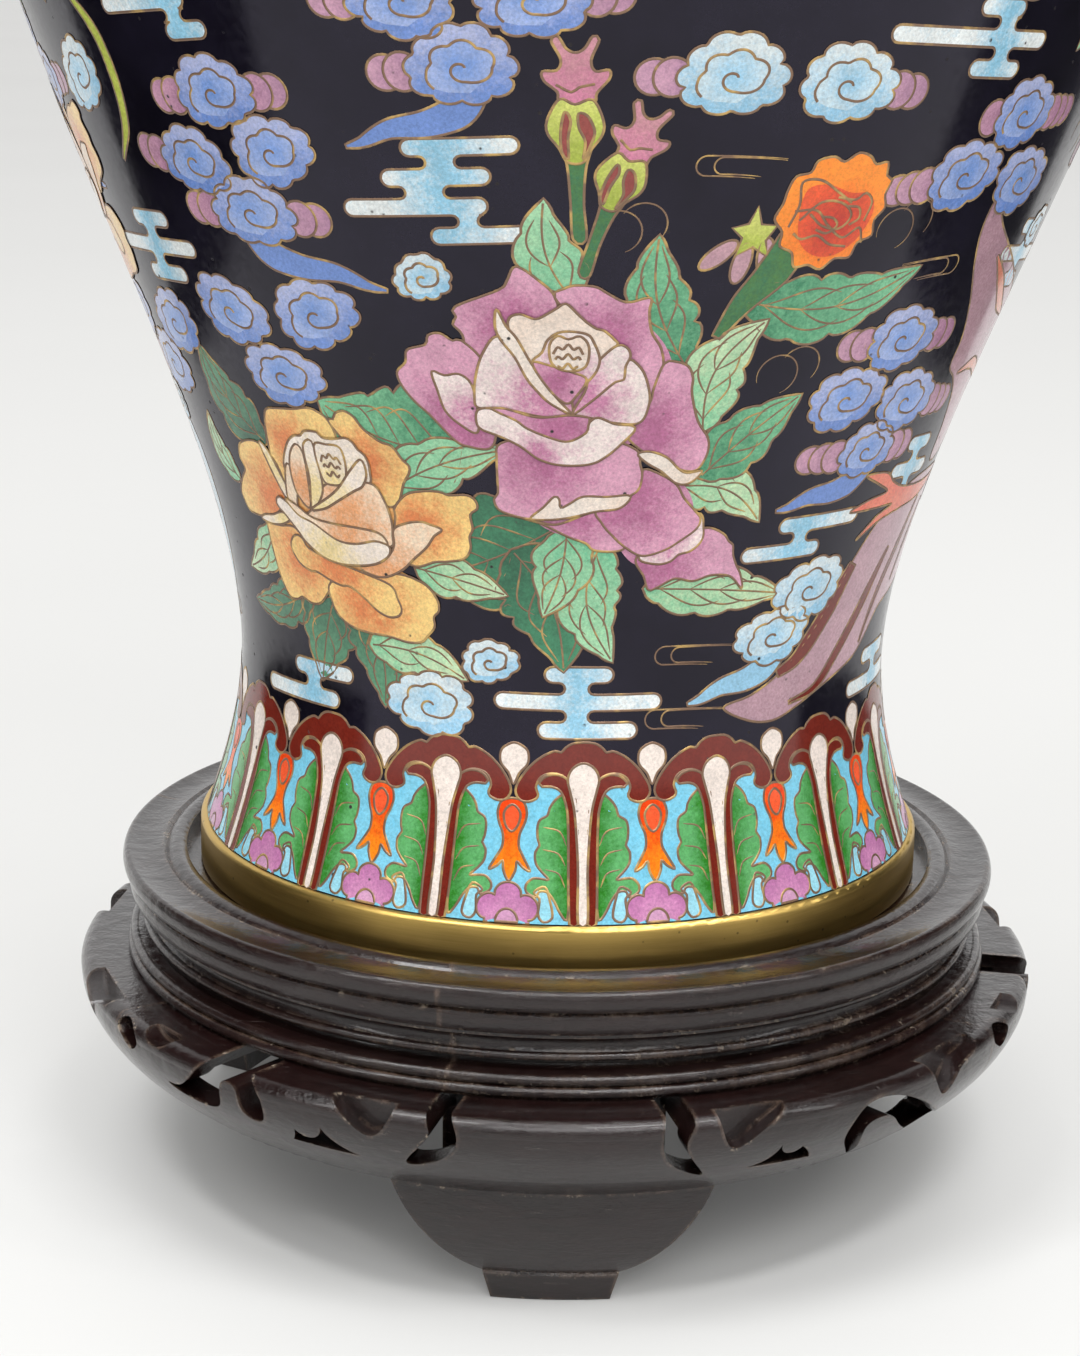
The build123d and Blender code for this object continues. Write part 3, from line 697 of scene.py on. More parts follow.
def lime_bud(spot, level=0):
    """Small star-shaped sepal with two pale pink petals."""
    for x, y, turn in ((-7.6, -4.4, 0.7), (-1.6, -6.6, 1.4), (4.4, -5.4, 1.7)):
        cell(spot, oval(x, y, 5.4, 2.3, 22, turn), ("cfa6ae", "b58a98"), level)
    star = [(0, 8), (1.6, 3.4), (5.6, 3), (3.4, -0.8), (4.6, -5), (0.4, -2.4), (-3.4, -4.6),
            (-2.6, 0), (-5.4, 2.6), (-1.6, 3.6)]
    cell(spot, np.array(star, float), LIME, level + 1, rising(-4, 6))


def tail_feather(spot, level=0):
    """Long mauve feather with dark stripes and a flame at its root, swept to the right."""
    body = [(-15, -5), (-7, -2.6), (1, 1.6), (9, 8.6), (17, 20), (22, 30.6), (29, 41), (38, 48),
            (52, 50), (66, 48), (74, 36), (70, 22), (60, 16), (46, 12), (40, 6), (34, 1),
            (26, -2), (17, -5), (9, -8), (1, -10.4), (-7, -9.4)]
    cell(spot, smooth(body, size=spot.size), MAUVE, level, rising(-10, 70, 0))
    stripes = [
        ([(1, 2), (8, 6), (16, 17), (22, 29)], (2.4, 5.2, 5.6, 3.6)),
        ([(6, -6.6), (16, -4), (24, 4), (32, 15), (40, 30)], (0.8, 2.6, 3.4, 3.4, 1.2)),
        ([(36, 4), (41, 16), (48, 30), (52, 42)], (0.8, 2.2, 2.6, 1.0)),
        ([(52, 18), (56, 28), (60, 40)], (0.8, 2.2, 0.8)),
    ]
    for line, widths in stripes:
        blade(spot, line, widths, MAROON, level + 1)
    flame = [(16, 55), (24, 54.6), (29, 51), (36, 48.4), (50, 47), (64, 47), (50, 42.6), (38, 41.6),
             (28, 40), (20, 36), (26, 41.6), (32, 44), (24, 44.4), (14, 45), (20, 47.4), (27, 48.6),
             (22, 51.6)]
    cell(spot, smooth(flame, size=spot.size, step=0.8), ("e0604a", "e88a6c"), level + 2)


def high_feather(spot, level=0):
    """Second mauve feather that hangs from above, with two orange streaks."""
    body = [(0, 42), (-1.4, 34), (2, 24), (9, 12), (13.4, 2), (14, -6), (20, -10), (26, -16),
            (31, -26), (34, -36), (46, -34), (58, -24), (62, -8), (56, 4), (44, 12), (30, 20),
            (18, 27), (8, 34)]
    cell(spot, smooth(body, size=spot.size), MAUVE, level, rising(42, -30))
    blade(spot, [(13, 25), (22, 18), (34, 9), (46, 4)], (0.8, 3.4, 3.8, 0.8),
          ("dd7c62", "e59a7e"), level + 1)
    blade(spot, [(22, -9), (34, -8), (46, -12), (56, -16)], (0.8, 3.6, 3.0, 0.8),
          ("dd7c62", "e59a7e"), level + 1)


# Leaves round the two roses: foot, tip, width, bend, colours, veins, lobes, level.
LEAVES = [
    ((-14, 219), (-33, 229), 36, 0.10, EMERALD, 4, 5, 0),
    ((1, 203), (-21, 183), 36, 0.05, DARK, 4, 5, 0),
    ((-38, 178), (-43, 150.5), 22, -0.05, DARKEST, 3, 5, 0),
    ((-34, 178), (-31, 147.5), 21, 0.08, DARKEST, 3, 5, 1),
    ((-44, 176), (-61, 166), 14, 0.1, DARKEST, 3, 5, 0),
    ((-46, 214), (-54.5, 238), 19, 0.12, DARKEST, 3, 4, 0),
    ((-56.5, 201), (-60, 218.5), 10, 0.2, LIGHT, 2, 3, 1),
    ((-50, 191), (-61, 175), 12, 0.1, LIGHT, 2, 3, 1),
    ((-26, 206), (-9, 221), 17, 0.06, MINT, 3, 4, 1),
    ((0.5, 257), (-3.4, 282.5), 17, 0.12, MINT, 2, 4, 1),
    ((13.5, 242), (8.6, 274.5), 18, 0.1, EMERALD, 3, 5, 1),
    ((17, 225), (22.4, 253.5), 18, 0.16, LIGHT, 3, 4, 2),
    ((17.5, 213), (29, 234), 18, 0.02, EMERALD, 3, 4, 3),
    ((13.5, 211), (27.6, 199.5), 15, 0.16, LIGHT, 2, 4, 2),
    ((11.5, 184), (33.8, 179), 16, 0.02, LIGHT, 3, 4, 2),
    ((5, 197), (7.4, 164), 19, -0.16, MINT, 3, 5, 2),
    ((-8, 194), (-1, 161), 27, 0.1, DARK, 3, 5, 1),
    ((0, 200), (-3, 176), 17, 0.06, MINT, 3, 3, 3),
    ((-23, 187), (-9.8, 181), 13, 0.02, LIGHT, 2, 3, 2),
    ((-33, 164), (-17.4, 157), 14, 0.1, LIGHT, 2, 3, 3),
    ((19, 258), (43, 264), 20, -0.12, EMERALD, 3, 5, 1),
]


def bouquet(group):
    """The big rose, the peach rose, buds and all their leaves."""
    for foot, tip, width, bend, tints, veins, lobes, level in LEAVES:
        leaf_between(group, foot, tip, width, bend, tints, veins, lobes, level)
    stem = group.child(18, 253, level=1)
    blade(stem, [(-3, -4), (2, 5), (8, 13), (12, 22)], (2.5, 6, 9, 9), OLIVE, 1)
    bud_rose(group.child(27, 279.6, size=0.94, level=4))
    pink_bud(group.child(-0.3, 300.5, size=0.84, level=2))
    pink_bud(group.child(4.4, 288.5, size=0.76, turn=-0.36, level=2))
    lime_bud(group.child(18.6, 273.5, level=0))
    rose(group.child(-34, 212), PEACH_ROSE, 5, (0.9, 1.04))
    rose(group.child(0, 238), BIG_ROSE, 5, (1.0, 1.07))


PERIWINKLE = (PERI, PERI_IN)
POWDER = (PALE, PALE_IN)
# Clouds in front: angle, height, half width, half height, colours, ribbed caps, tail, turn.
CLOUDS = [
    (-37, 303, 12.5, 9.2, PERIWINKLE, (2, 2), 0, 0.1),
    (-42.5, 286, 12.0, 8.8, PERIWINKLE, (2, 0), 0, -0.1),
    (-31.5, 290, 12.0, 9.2, PERIWINKLE, (0, 0), 0, 0.2),
    (-36, 275, 13.2, 9.0, PERIWINKLE, (2, 2), 34, 0.0),
    (-44.5, 249, 13.0, 9.4, PERIWINKLE, (0, 0), 0, -0.2),
    (-31, 251, 12.8, 9.4, PERIWINKLE, (0, 0), 0, 0.3),
    (-38.5, 234, 13.2, 8.6, PERIWINKLE, (0, 0), 0, 0.0),
    (-16.5, 262.5, 7.4, 6.2, POWDER, (0, 0), 0, 0.3),
    (-15.5, 326, 13.0, 9.4, PERIWINKLE, (2, 0), 0, 0.0),
    (-4, 327, 13.0, 9.4, PERIWINKLE, (0, 2), 0, 0.1),
    (-10.5, 312, 13.0, 9.8, PERIWINKLE, (2, 0), -32, 0.1),
    (14, 311, 13.2, 10.0, POWDER, (2, 0), 0, 0.0),
    (25.5, 309, 13.0, 9.8, POWDER, (0, 2), 0, -0.1),
    (50.5, 300, 12.5, 9.4, PERIWINKLE, (1, 3), 0, 0.0),
    (44, 286, 13.0, 9.2, PERIWINKLE, (3, 0), 0, 0.1),
    (55.5, 283, 13.0, 9.2, PERIWINKLE, (0, 0), 0, -0.1),
    (44, 245.5, 12.6, 9.2, PERIWINKLE, (2, 2), 0, 0.0),
    (37.5, 231, 12.6, 9.0, PERIWINKLE, (0, 0), 0, 0.1),
    (50, 228, 12.6, 9.0, PERIWINKLE, (0, 3), 0, -0.1),
    (45, 216, 10.6, 8.0, PERIWINKLE, (3, 2), -26, 0.0),
    (41.5, 179.5, 12.4, 9.0, POWDER, (0, 0), 0, 0.1),
    (35.5, 168, 12.0, 8.0, POWDER, (0, 0), -25, 0.1),
    (-11.8, 163.5, 7.6, 6.0, POWDER, (0, 0), 0, 0.2),
    (-22, 150.8, 12.2, 8.6, POWDER, (0, 0), 0, 0.0),
    (-60, 303, 12.5, 9.0, POWDER, (0, 0), 0, 0.5),
    (-60, 242, 13.0, 9.0, PERIWINKLE, (0, 0), 0, 0.2),
    (-68, 229, 13.0, 9.0, PERIWINKLE, (2, 0), 0, 0.0),
    (-77, 242, 13.0, 9.0, PERIWINKLE, (2, 0), 0, 0.0),
]
# Mist banks in front: angle, height, rows, bridges, lean.
MISTS = [
    (-14, 283, [(-7, 19.5), (-12.5, 13), (-23, 12), (-2, 22)], [(-1.5, 5), (-7, 2), (5, 9.5)], 0.07),
    (2.5, 153.4, [(-8.5, 8.5), (-21, 21), (-10, 15)], [(-3.4, 2.4), (-3, 2.4)], 0.0),
    (38, 194.5, [(-10, 17), (-19.5, 5)], [(-4.6, -0.6)], 0.0),
    (-41, 319.5, [(-22, 8), (0, 13)], [(1.6, 6)], 0.1),
    (-46, 150, [(-8, 14), (-22, 9)], [(-3, 2)], 0.03),
    (43, 318, [(-12, 3), (-36, 15), (-10, 8)], [(-4.4, 1), (-3, 2)], -0.06),
    (-58, 262, [(-4, 14), (-30, 22), (-6, 14)], [(1, 6), (0, 5)], 0.05),
    (60, 207, [(-7, 6), (-11, 10), (-6, 4)], [(-2.4, 1.2), (-2.4, 1.2)], -0.05),
    (67, 262, [(-8, 6), (-16, 20), (-6, 9)], [(-2, 3), (-2, 3)], -0.1),
    (68, 150, [(-8, 12), (-16, 18)], [(0, 4)], 0.0),
]
HAIRPINS = [(11.5, 290.5, 1.0), (14.5, 165.5, 1.0), (13.5, 148.6, 1.0), (49, 263.4, -1.0)]
RINGS = [(4.4, 275, 1.0), (25.5, 239, 1.0), (36, 274, 1.0)]

for deg, z, rx, ry, tints, caps, tail, turn in CLOUDS:
    cloud(FRONT.child(deg, z, turn=turn), rx, ry, tints, caps, tail, phase=deg)
for deg, z, rows, bridges, lean in MISTS:
    mist(FRONT.child(deg, z), rows, bridges, lean=lean)
for deg, z, side in HAIRPINS:
    hairpin(FRONT.child(deg, z, side=side))
for deg, z, side in RINGS:
    rings(FRONT.child(deg, z, side=side))
tail_feather(FRONT.child(37, 155))
high_feather(FRONT.child(52, 240))
blade(FRONT.child(-53, 302), [(-9, 24), (0, 14), (2.4, 2), (0, -10), (-8, -20)],
      (1.6, 3.4, 3.6, 3.0, 0.8), LIME)
bouquet(FRONT)
rose(FRONT.child(-81, 290, 0.95, turn=0.3), PEACH_ROSE, 3, (0.9, 1.1))
blade(FRONT.child(-77, 190), [(-2, 34), (4, 12), (1, -10), (-9, -36)], (3, 9, 10, 7, 2), PALE)


# ---- border of arches round the foot -------------------------------------
def seen_from(spot, way):
    """The same place, mirrored where way is -1."""
    side = Spot(spot.theta, spot.s, spot.size, spot.turn, way)
    side.r = spot.r
    return side


def border_arch(spot):
    """One arch with its stem, leaves, pendant and half flower; x in mm from the stem, y up."""
    half = math.pi * BORDER_R / MODULES
    ground = [(-half, 0.3), (half, 0.3), (half, 31.6), (15.4, 31.6), (13.2, 33), (12, 37),
              (6, 40), (0, 41), (-6, 40), (-12, 37), (-13.2, 33), (-15.4, 31.6), (-half, 31.6)]
    cell(spot, densify(np.array(ground)), SKY, 0, edge=False)
    for way in (1.0, -1.0):
        side = seen_from(spot, way)
        frond = [(4.6, 33), (7.2, 31.6), (8.7, 29.4), (9.2, 27.6), (11.1, 26.4), (11.7, 24.4),
                 (11.5, 21.6), (11, 20), (12, 18.3), (11.8, 15.6), (10.4, 13.6), (8.4, 11.5),
                 (10.4, 11.7), (12.5, 11.6), (14, 10), (13.9, 8.3), (12.5, 7.3), (11.4, 7),
                 (10.8, 8.3), (9.6, 8.6), (8.3, 8), (6.9, 6), (5.6, 3.4), (3.9, 1.4),
                 (3.4, 6), (3.6, 14), (3.4, 22), (3.6, 28)]
        cell(side, smooth(frond, step=0.8), BORDER_GREEN, 1, rising(4.4, 8.6, 0))
        for vein in ([(4.2, 20), (6, 23.6), (10.2, 24.6)], [(4.4, 15), (6.2, 18), (10.2, 19)],
                     [(4.4, 9.6), (6, 13), (9.4, 14)]):
            wire(side, smooth(vein, closed=False), 1, width=ARCH_VEIN_WIDTH, taper=True)
        drop = [(half - 7.8, 6.6), (half - 6.4, 8.2), (half - 9, 9.6), (half - 10.4, 6),
                (half - 11, 2), (half - 9, 0.8), (half - 7.6, 2.6)]
        cell(side, smooth(drop, step=0.8), ("a4d8e6", "8fd0e2"), 1)
    bulb = both_sides([(0, 31.6), (-2.8, 30.8), (-3.8, 28.2), (-3.4, 25.6), (-2.2, 22.6),
                       (-2.1, 19.6), (-3, 17.6), (-4, 15.8), (-5.2, 13.4), (-3.2, 14.4),
                       (-1.8, 15.8), (-1.5, 13.4), (0, 10.8)])
    middle = np.array([half, 0.0])      # the line between this arch and the next
    cell(spot, smooth(np.array(bulb) + middle, step=0.7), PENDANT, 2, rising(26, 13))
    eye = both_sides([(0, 30), (-2.1, 28), (-1.6, 24.8), (0, 23.2)])
    cell(spot, smooth(np.array(eye) + middle, step=0.7), ("f4633a", "f0552c"), 3)
    a = np.radians(np.linspace(-22, 202, 90))
    reach = 4.9 + 2.9 * np.sqrt(np.abs(np.cos(2.5 * (a - math.pi / 2))))
    flower = np.stack([half + reach * np.cos(a), np.maximum(2.7 + reach * np.sin(a), 0.4)], -1)
    cell(spot, flower, ROSY, 2, from_point(half, 0, 3, 9))
    a = np.linspace(0, math.pi, 20)
    heart = np.stack([half + 2.7 * np.cos(a), 0.5 + 3.3 * np.sin(a)], -1)
    cell(spot, densify(heart), ("d8a8c4", "c490b4"), 4)
    drop = both_sides([(0, 35.2), (-1.4, 38), (-3.4, 40.2), (-3.8, 42.4), (-3, 44.4), (0, 45.8)])
    cell(spot, smooth(np.array(drop) + middle, step=0.8), IVORY, 1)
    arch = [(0, 46.3), (3, 46), (5, 44.8), (6, 43.7), (7.6, 44), (9.7, 43.2), (12, 41.8),
            (14.4, 39.6), (16.4, 37), (17.6, 34.6), (17.6, 32.8), (16.4, 31.2), (14.2, 30.9),
            (12.2, 31.8), (11.8, 33), (12.4, 34.6), (11.6, 36.8), (9.7, 38), (7.2, 38.2),
            (5, 37.4), (3.6, 36.2), (3.4, 38), (2, 40), (0, 40.8)]
    cell(spot, smooth(both_sides(arch), step=0.8), MAROON, 4)
    for way in (1.0, -1.0):
        side = seen_from(spot, way)
        hook = [(1.1, 0.4), (1.1, 20), (1.4, 28), (2.2, 33), (4, 36.6), (7, 38), (10, 37.4),
                (11.6, 35.6), (10.8, 34.8), (8.6, 34.9), (6, 33.8), (4.4, 30), (3.8, 24),
                (3.2, 0.4)]
        cell(side, smooth(hook, step=0.9), MAROON, 5)
    stem = both_sides([(0, 41), (2.9, 39.6), (4.1, 36.8), (3.4, 33.6), (2.3, 29), (1.7, 23),
                       (1.2, 14), (1.1, 0.5)])
    cell(spot, smooth(stem, step=0.9), IVORY, 6)


BORDER_S = float(s_of(RING_Z))
for k in range(MODULES):
    place = Spot(MODULE_TURN + k * 2 * math.pi / MODULES, BORDER_S)
    place.r = BORDER_R
    border_arch(place)


# ---- decoration out of the photograph's view, in the same manner ----------
taken = []      # (angle, length along the wall, radius in mm) of what is already drawn


def note(theta, s, radius):
    taken.append((theta, float(s), radius))


def is_free(theta, s, radius):
    for other, t, r in taken:
        d = (theta - other + math.pi) % (2 * math.pi) - math.pi
        mean = 0.5 * float(r_at(s) + r_at(t))
        if math.hypot(d * mean, s - t) < radius + r:
            return False
    return True


for a in range(-62, 64, 6):
    for h in range(150, 325, 9):
        note(math.radians(a), s_of(h), 7.0)
note(math.radians(-62), s_of(200), 18.0)
note(math.radians(68), s_of(165), 30.0)
note(math.radians(68), s_of(235), 26.0)

# Bouquets elsewhere: angle, height, size, side.
GROUPS = [(180, 238, 1.0, -1.0), (-118, 250, 0.8, 1.0), (62, 400, 1.15, -1.0),
          (-62, 405, 1.1, 1.0), (180, 415, 1.15, 1.0)]
for deg, z, size, side in GROUPS:
    group = Spot(math.radians(deg), s_of(z), size, 0.0, side)
    bouquet(group)
    for x, y, radius in ((-8, -6, 44), (26, 10, 34), (-36, -14, 34), (30, -30, 26), (-66, -22, 26),
                         (48, 36, 26), (2, 56, 22), (-66, -50, 24), (-80, -22, 20)):
        note(group.theta + side * x * size / group.r, group.s + y * size, radius * size * 0.86)

BLOOMS = [(0, 372, 0.62, 1.0), (118, 330, 0.7, -1.0), (-10, 508, 0.6, -1.0), (110, 500, 0.62, 1.0),
          (-125, 505, 0.6, 1.0), (122, 190, 0.6, 1.0), (-122, 350, 0.62, -1.0),
          (30, 625, 0.36, 1.0), (150, 625, 0.36, -1.0), (-90, 625, 0.36, 1.0)]
for number, (deg, z, size, side) in enumerate(BLOOMS):
    spot = Spot(math.radians(deg), s_of(z), size, 0.0, side)
    for turn, tints, reach in ((0.5, EMERALD, 62), (1.4, MINT, 56), (2.5, LIGHT, 60),
                               (3.6, DARK, 66), (4.5, EMERALD, 64), (5.6, MINT, 62)):
        twig = Spot(spot.theta, spot.s, size, turn, side, 0)
        leaf(twig, reach, 26, 0.08, tints, 3, 4, int(turn))
    if number % 2:
        rose(Spot(spot.theta, spot.s + 8 * size, size, 0.2, side), PEACH_ROSE, 6, (0.95, 1.1))
    else:
        rose(Spot(spot.theta, spot.s + 6 * size, size, -0.1, side), BIG_ROSE, 6, (0.9, 1.0))
    note(spot.theta, spot.s, 58 * size)

rng = random.Random(7)


def cluster(spot):
    cloud(spot, 12.5, 9.2, PERIWINKLE, (2, 0), 0, 0.2)
    for x, y, caps, tail in ((14, 14, (0, 0), 0), (26, -1, (0, 2), 0), (12, -15, (2, 0), 30)):
        c, d = math.cos(spot.turn), math.sin(spot.turn)
        u, v = x * spot.size, y * spot.size
        near = Spot(spot.theta + spot.side * (u * c - v * d) / spot.r, spot.s + u * d + v * c,
                    spot.size, spot.turn, spot.side)
        cloud(near, 12.4, 9.0, PERIWINKLE, caps, tail, phase=x)


def pair(spot):
    cloud(spot, 13.0, 9.8, POWDER, (2, 0), 0, 0.4)
    near = Spot(spot.theta + spot.side * 26.0 * spot.size / spot.r, spot.s - 2.0, spot.size,
                spot.turn, spot.side)
    cloud(near, 12.6, 9.4, POWDER, (0, 2), 0, 1.1)


def bank(spot):
    rows = [(-7, 19), (-13, 12), (-23, 12), (-2, 21)]
    mist(spot, rows, [(-1.5, 5), (-7, 2), (5, 9.5)])


def small_bank(spot):
    mist(spot, [(-8, 8), (-19, 18), (-9, 13)], [(-3, 2.4), (-2, 3)])


def lone_cloud(spot):
    cloud(spot, 7.6, 6.2, POWDER)


# What fills the gaps, biggest first: how to draw it, radius, shift of its middle, tries.
FILLERS = [(cluster, 33.0, (10, 0), 1300), (pair, 25.0, (13, 0), 500), (bank, 23.0, (0, 0), 900),
           (small_bank, 19.0, (0, 0), 700), (hairpin, 10.5, (8, 0), 900), (lone_cloud, 9.5, (0, 0), 1400),
           (rings, 9.0, (3, 0), 500)]
for draw, radius, (x, y), tries in FILLERS:
    for i in range(tries):
        theta = rng.uniform(0, 2 * math.pi)
        s = rng.uniform(float(s_of(152)), float(s_of(640)))
        z = float(np.interp(s, ALONG, PROFILE[:, 1]))
        size = 0.62 if z > 575 else (1.12 if 300 < z < 540 else 0.95)
        if 545 < z < 600 or not is_free(theta, s, radius * size):
            continue
        if s + radius * size > s_of(641) or s - radius * size < s_of(149):
            continue
        side = rng.choice((1.0, -1.0))
        turn = rng.uniform(-0.12, 0.12)
        note(theta, s, radius * size)
        draw(Spot(theta - side * x * size / float(r_at(s)), s, size, turn, side))


# ---- bands at the shoulder and under the mouth ----------------------------
def scroll_head(spot):
    """One head of the shoulder band: maroon scalloped head with a blue heart and a rosy core."""
    head = [(0, 25), (4, 23.6), (7, 20), (8.4, 15.4), (12, 14.6), (15, 11.6), (15.6, 7.4),
            (13, 4), (9.6, 3.6), (7.4, 5.6), (5, 3.4), (0, 2)]
    head = both_sides(head)
    cell(spot, smooth(head, step=0.8), MAROON, 1)
    heart = [(x * 0.72, 3.8 + y * 0.70) for x, y in head]
    cell(spot, smooth(heart, step=0.8), SKY, 2)
    core = [(x * 0.40, 6.4 + y * 0.40) for x, y in head]
    cell(spot, smooth(core, step=0.8), ROSY, 3, from_point(0, 8, 0, 7))


HEADS = 20
HEAD_Z = 571.0
BEAD_Z = 566.0
BEAD_SIZE = 3.2             # mm, radius
TILES = 72
TILE_Z = 575.0
for k in range(HEADS):
    place = Spot((k + 0.5) * 2 * math.pi / HEADS, s_of(HEAD_Z), 0.9, math.pi)
    scroll_head(place)
    bead = Spot(k * 2 * math.pi / HEADS, s_of(BEAD_Z))
    cell(bead, oval(0.0, 0.0, BEAD_SIZE, BEAD_SIZE, 24), IVORY, 2)
for k in range(TILES):
    tile = Spot(k * 2 * math.pi / TILES, s_of(TILE_Z))
    half = math.pi * tile.r / TILES - 0.2
    tile_out = densify(np.array([(-half, -2.6), (half, -2.6), (half, 2.6), (-half, 2.6)]))
    cell(tile, tile_out, SKY if k % 2 else BORDER_GREEN, 4)

MOUTH_MODULES = 12
MOUTH_SIZE = 0.74
MOUTH_BAND_Z = 680.6
for k in range(MOUTH_MODULES):
    place = Spot((k + 0.5) * 2 * math.pi / MOUTH_MODULES, s_of(MOUTH_BAND_Z), MOUTH_SIZE, math.pi)
    place.r = BORDER_R * MOUTH_SIZE * MOUTH_MODULES / MODULES
    border_arch(place)


# ---- meshes -------------------------------------------------------------
def build_mesh(name, sheet, material):
    """One object from a collector, with its true normals and its two tints."""
    co = np.concatenate(sheet.co)
    no = np.concatenate(sheet.no)
    tri = np.concatenate(sheet.faces)
    mesh = bpy.data.meshes.new(name)
    mesh.vertices.add(len(co))
    mesh.vertices.foreach_set("co", co.ravel().astype(np.float32))
    mesh.loops.add(len(tri) * 3)
    mesh.loops.foreach_set("vertex_index", tri.ravel().astype(np.int32))
    mesh.polygons.add(len(tri))
    mesh.polygons.foreach_set("loop_start", np.arange(0, len(tri) * 3, 3, dtype=np.int32))
    mesh.polygons.foreach_set("use_smooth", np.ones(len(tri), bool))
    mesh.update(calc_edges=True)
    mesh.normals_split_custom_set_from_vertices(no.astype(np.float32))
    if sheet.tints:
        tints = np.concatenate(sheet.tints)
        for label, first in (("tint_a", 0), ("tint_b", 3)):
            layer = mesh.attributes.new(label, "FLOAT_COLOR", "POINT")
            full = np.ones((len(tints), 4), np.float32)
            full[:, :3] = tints[:, first:first + 3]
            layer.data.foreach_set("color", full.ravel())
        layer = mesh.attributes.new("tint_mix", "FLOAT", "POINT")
        layer.data.foreach_set("value", tints[:, 6].astype(np.float32))
    mesh.materials.append(material)
    obj = bpy.data.objects.new(name, mesh)
    bpy.context.scene.collection.objects.link(obj)
    return obj


def ground_shell(z_low, z_high):
    """Closed shell of plain enamel between two heights."""
    s0, s1 = float(s_of(z_low)), float(s_of(z_high))
    rows = max(8, int((s1 - s0) / 2.6))
    ss = np.linspace(s0, s1, rows + 1)
    if z_low == RING_Z:
        ss[0] = 0.0
    columns = GROUND_COLUMNS
    sheet = Sheet()
    theta = np.linspace(0, 2 * math.pi, columns, endpoint=False)
    tt, sv = np.meshgrid(theta, ss)
    for lift, flip in ((0.0, False), (-ENAMEL_THICK, True)):
        co, no = on_wall(tt.ravel(), sv.ravel(), lift)
        if flip:
            no = -no
        i, j = np.meshgrid(np.arange(columns), np.arange(rows))
        a = (j * columns + i).ravel()
        b = (j * columns + (i + 1) % columns).ravel()
        c, d = b + columns, a + columns
        faces = np.concatenate([np.stack([a, b, c], -1), np.stack([a, c, d], -1)])
        sheet.add(co, no, faces[:, ::-1] if flip else faces)
    for s, flip in ((ss[0], True), (ss[-1], False)):
        outer, no = on_wall(theta, np.full(columns, s), 0.0)
        inner, _ = on_wall(theta, np.full(columns, s), -ENAMEL_THICK)
        up = np.zeros_like(no)
        up[:, 2] = -1.0 if flip else 1.0
        i = np.arange(columns)
        j = (i + 1) % columns
        faces = np.concatenate([np.stack([i, j, j + columns], -1),
                                np.stack([i, j + columns, i + columns], -1)])
        sheet.add(np.vstack([outer, inner]), np.vstack([up, up]),
                  faces[:, ::-1] if flip else faces)
    return sheet


# ---- materials ----------------------------------------------------------
class Nodes:
    """Short way to build a node material."""

    def __init__(self, name):
        self.material = bpy.data.materials.new(name)
        self.material.use_nodes = True
        self.tree = self.material.node_tree
        self.shader = self.tree.nodes["Principled BSDF"]

    def add(self, kind, **values):
        node = self.tree.nodes.new(kind)
        for key, value in values.items():
            setattr(node, key, value)
        return node

    def link(self, a, b):
        self.tree.links.new(a, b)

    def place(self):
        return self.add("ShaderNodeTexCoord").outputs["Object"]

    def noise(self, scale, detail=2.0, rough=0.5, vector=None, distortion=0.0):
        node = self.add("ShaderNodeTexNoise")
        node.inputs["Scale"].default_value = scale
        node.inputs["Detail"].default_value = detail
        node.inputs["Roughness"].default_value = rough
        node.inputs["Distortion"].default_value = distortion
        self.link(vector if vector is not None else self.place(), node.inputs["Vector"])
        return node.outputs["Fac"]

    def spots(self, scale):
        """Distance to the nearest of many scattered points."""
        node = self.add("ShaderNodeTexVoronoi")
        node.inputs["Scale"].default_value = scale
        self.link(self.place(), node.inputs["Vector"])
        return node.outputs["Distance"]

    def span(self, value, low, high, to_low=0.0, to_high=1.0):
        node = self.add("ShaderNodeMapRange")
        node.inputs["From Min"].default_value = low
        node.inputs["From Max"].default_value = high
        node.inputs["To Min"].default_value = to_low
        node.inputs["To Max"].default_value = to_high
        self.link(value, node.inputs["Value"])
        return node.outputs["Result"]

    def math(self, operation, a, b):
        node = self.add("ShaderNodeMath", operation=operation)
        for value, socket in ((a, node.inputs[0]), (b, node.inputs[1])):
            if isinstance(value, (int, float)):
                socket.default_value = value
            else:
                self.link(value, socket)
        return node.outputs[0]

    def mix(self, factor, a, b, blend="MIX"):
        node = self.add("ShaderNodeMix", data_type="RGBA", blend_type=blend)
        if isinstance(factor, (int, float)):
            node.inputs[0].default_value = factor
        else:
            self.link(factor, node.inputs[0])
        for value, socket in ((a, node.inputs[6]), (b, node.inputs[7])):
            if isinstance(value, tuple):
                socket.default_value = (*value, 1.0)
            else:
                self.link(value, socket)
        return node.outputs[2]

    def bump(self, height, strength, distance):
        node = self.add("ShaderNodeBump")
        node.inputs["Strength"].default_value = strength
        node.inputs["Distance"].default_value = distance
        self.link(height, node.inputs["Height"])
        self.link(node.outputs["Normal"], self.shader.inputs["Normal"])

    def edge(self, radius):
        """1 on sharp outer and inner edges, 0 on flat faces."""
        bevel = self.add("ShaderNodeBevel", samples=4)
        bevel.inputs["Radius"].default_value = radius
        flat = self.add("ShaderNodeNewGeometry").outputs["Normal"]
        dot = self.add("ShaderNodeVectorMath", operation="DOT_PRODUCT")
        self.link(bevel.outputs["Normal"], dot.inputs[0])
        self.link(flat, dot.inputs[1])
        return self.math("SUBTRACT", 1.0, dot.outputs["Value"])

    def set(self, **values):
        for key, value in values.items():
            socket = self.shader.inputs[key.replace("_", " ").title().replace("Ior", "IOR")]
            if isinstance(value, tuple):
                socket.default_value = (*value, 1.0)
            elif isinstance(value, (int, float)):
                socket.default_value = value
            else:
                self.link(value, socket)


